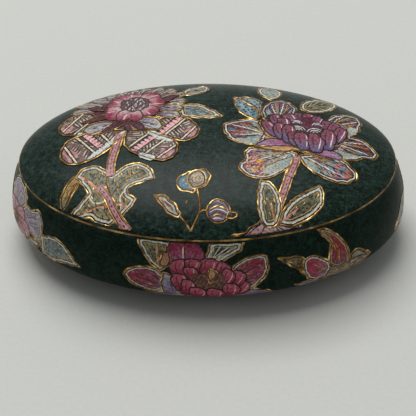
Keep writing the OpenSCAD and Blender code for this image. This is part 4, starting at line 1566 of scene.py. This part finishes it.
def base_spray(name, place=(0, 0), mirror=False):
    """The flower on the base's right shoulder: a bud, an upright petal and a netted skirt."""
    art = Motif(name, "base", place=place, mirror=mirror)
    art.petal([(25.2, 10.8, 1), (28.6, 10.4), (32, 10.2), (34.6, 8.4, 1), (33.2, 6), (34.2, 1.6, 1),
               (31.8, 4.6), (28.6, 7.6)], (34, 6), (25.4, 10.6),
              wash((0, srgb(140, 120, 60)), (1, srgb(150, 154, 130))), 0.62)
    art.fan((34, 6), [(26.4, 10.2), (29, 10), (31.6, 9.4)], 0.36, INK, 0.1, 0.9)
    art.fan((34, 5.4), [(27, 9.4), (30, 9.8)], 0.4, None, 0.1, 0.9)
    lilac = wash((0, srgb(176, 160, 186)), (1, srgb(196, 186, 200)), streaks=0.2)
    for points, foot, tip in (
            ([(31, -2.4, 1), (38, -1.6), (45, -3), (50, -6.4), (44, -9), (35, -7)], (45, -3), (31, -4)),
            ([(43, -3, 1), (52, -2.4), (60, -4), (62, -8), (54, -10.6), (46, -9)], (45, -3), (62, -8))):
        art.petal(points, foot, tip, lilac, 0.44)
        art.fan(foot, [tip, (tip[0], tip[1] + 2), (tip[0], tip[1] - 2)], 0.36, PURPLE_INK, 0.2, 0.85)
    net = art.petal([(42, 2.6), (46, 2.2), (51, 2.6), (56, 3.8), (60.6, 0, 1), (57, -3.4), (50, -5),
                     (42.4, -4), (37, -1.8, 1)], (42, 0), (60, 0),
                    wash((0, srgb(176, 160, 140)), (1, srgb(184, 176, 156)),
                         spots=(srgb(96, 110, 150), 3.0, 0.0)), 0.5)
    art.hatch(net, 25, 1.4, 0.4, None, dash=2.0, gap=0.5)
    art.hatch(net, -25, 1.5, 0.4, INK, dash=1.8, gap=0.5)
    art.hatch(net, 10, 2.2, 0.4, CREAM, dash=1.4, gap=1.6)
    art.petal([(51.2, 3.4, 1), (54, 5.2), (57.2, 3.2), (59.8, -0.4, 1), (55, 0.8), (52, 1.4)], (52, 2.6),
              (59, 0), wash((0, srgb(170, 160, 130)), (1, WHITE)), 0.5, inner=0.8)
    upright = art.petal([(40.4, 18.7, 1), (44, 17.6), (47.2, 14.4), (49.8, 10), (51.2, 5), (51, 1.4, 1),
                         (46, 0.8), (43, 3.4, 1), (43.4, 8.4), (44.2, 12), (42.2, 15.2)], (47, 2), (41, 18.6),
                        wash((0, srgb(150, 90, 110)), (0.3, srgb(196, 26, 70)), (0.62, srgb(180, 40, 70)),
                             (0.8, srgb(206, 160, 90)), (1, CREAM), edge=(srgb(226, 200, 150), 1.0)), 0.56,
                        inner=1.2)
    art.fan((47, 2.4), [(45.6, 13), (48, 11.4), (43.4, 16)], 0.44, None, 0.15, 0.9)
    art.hatch(upright, 60, 1.6, 0.36, INK, dash=1.4, gap=0.9, margin=1.2)
    bud = art.petal([(34.4, 1.4), (33.6, 6.2), (35.6, 8.9), (39, 8.2), (42.8, 5.2, 1), (44, 2), (41.6, -1.8),
                     (37, -2)], (43, 1), (34, 5),
                    wash((0, srgb(176, 150, 190)), (0.45, srgb(206, 90, 126)), (1, srgb(196, 26, 70)),
                         edge=(srgb(240, 230, 204), 1.2)), 0.56, inner=1.4)
    art.fan((43, 1.6), [(36, 6), (37.6, 2), (36, 4)], 0.44, None, 0.1, 0.75)
    art.fan((43, 1.2), [(35.6, 3), (37, 6.4), (36.6, 0.4)], 0.36, PURPLE_INK, 0.1, 0.85)
    art.sprinkle(bud, 2.2, 0.5, CRIMSON, margin=1.5, long=1.6, degrees=30)
    art.finish()


# ---------------------------------------------------------------- camera, lights and floor
def camera():
    """The photo's view: a long lens, 41 degrees above the table, slightly rolled. Metres."""
    elevation = math.radians(41.33)
    turn = math.radians(2.59)
    roll = math.radians(1.34)
    distance = 0.4683
    target = Vector((0, 0, 0.0087))
    data = bpy.data.cameras.new("camera")
    data.lens = 112.4
    data.sensor_width = 36.0
    piece = bpy.data.objects.new("camera", data)
    back = Vector((0, -math.cos(elevation), math.sin(elevation)))
    back.rotate(Matrix.Rotation(turn, 3, "Z"))
    look = back.to_track_quat("Z", "Y").to_matrix() @ Matrix.Rotation(-roll, 3, "Z")
    piece.matrix_world = Matrix.Translation(target + back * distance) @ look.to_4x4()
    bpy.context.scene.collection.objects.link(piece)
    bpy.context.scene.camera = piece


def area_light(name, place, size, power):
    """A square soft box that faces the box."""
    data = bpy.data.lights.new(name, "AREA")
    data.shape = "SQUARE"
    data.size = size
    data.energy = power
    piece = bpy.data.objects.new(name, data)
    piece.location = place
    piece.rotation_euler = (-Vector(place)).to_track_quat("-Z", "Y").to_euler()
    bpy.context.scene.collection.objects.link(piece)


def studio():
    """A pale floor, a sky that is brighter behind, and one broad soft box above. Metres."""
    half = 1.6
    floor = make_piece("floor", np.array([(-1, -1, 0), (1, -1, 0), (1, 1, 0), (-1, 1, 0)]) * half / MM,
                       [(0, 1, 2, 3)], ["pale_floor"])
    area_light("soft_box", (-0.35, 0.85, 2.35), 1.7, 50.5)
    world = bpy.data.worlds.new("sky")
    world.use_nodes = True
    tree = world.node_tree
    sky = tree.nodes["Background"]
    sky.inputs["Color"].default_value = (0.97, 0.99, 1.0, 1)
    way = tree.nodes.new("ShaderNodeTexCoord")
    axes = tree.nodes.new("ShaderNodeSeparateXYZ")
    fade = tree.nodes.new("ShaderNodeMapRange")
    for key, value in (("From Min", -0.8), ("From Max", 0.9), ("To Min", 0.21), ("To Max", 0.40)):
        fade.inputs[key].default_value = value
    tree.links.new(way.outputs["Generated"], axes.inputs["Vector"])
    tree.links.new(axes.outputs["Y"], fade.inputs["Value"])
    tree.links.new(fade.outputs["Result"], sky.inputs["Strength"])
    bpy.context.scene.world = world
    bpy.context.scene.view_settings.view_transform = "Standard"


camera()
studio()
base_shell()
lid_shell()
gilt_edge()
for paint in (lid_peony, lid_peony_leaf, lid_buds, lid_lotus, lid_lotus_leaves, lid_side_leaves):
    paint()
base_peony("base_front_peony")
base_peony("base_back_peony", (HALF_GIRTH, 0))
base_end_flower("base_left_flower")
base_end_flower("base_right_flower", (31, 0), mirror=True)
base_spray("base_front_spray")
base_spray("base_back_right_spray", (102, 0))
base_spray("base_back_left_spray", (-94, 0), mirror=True)
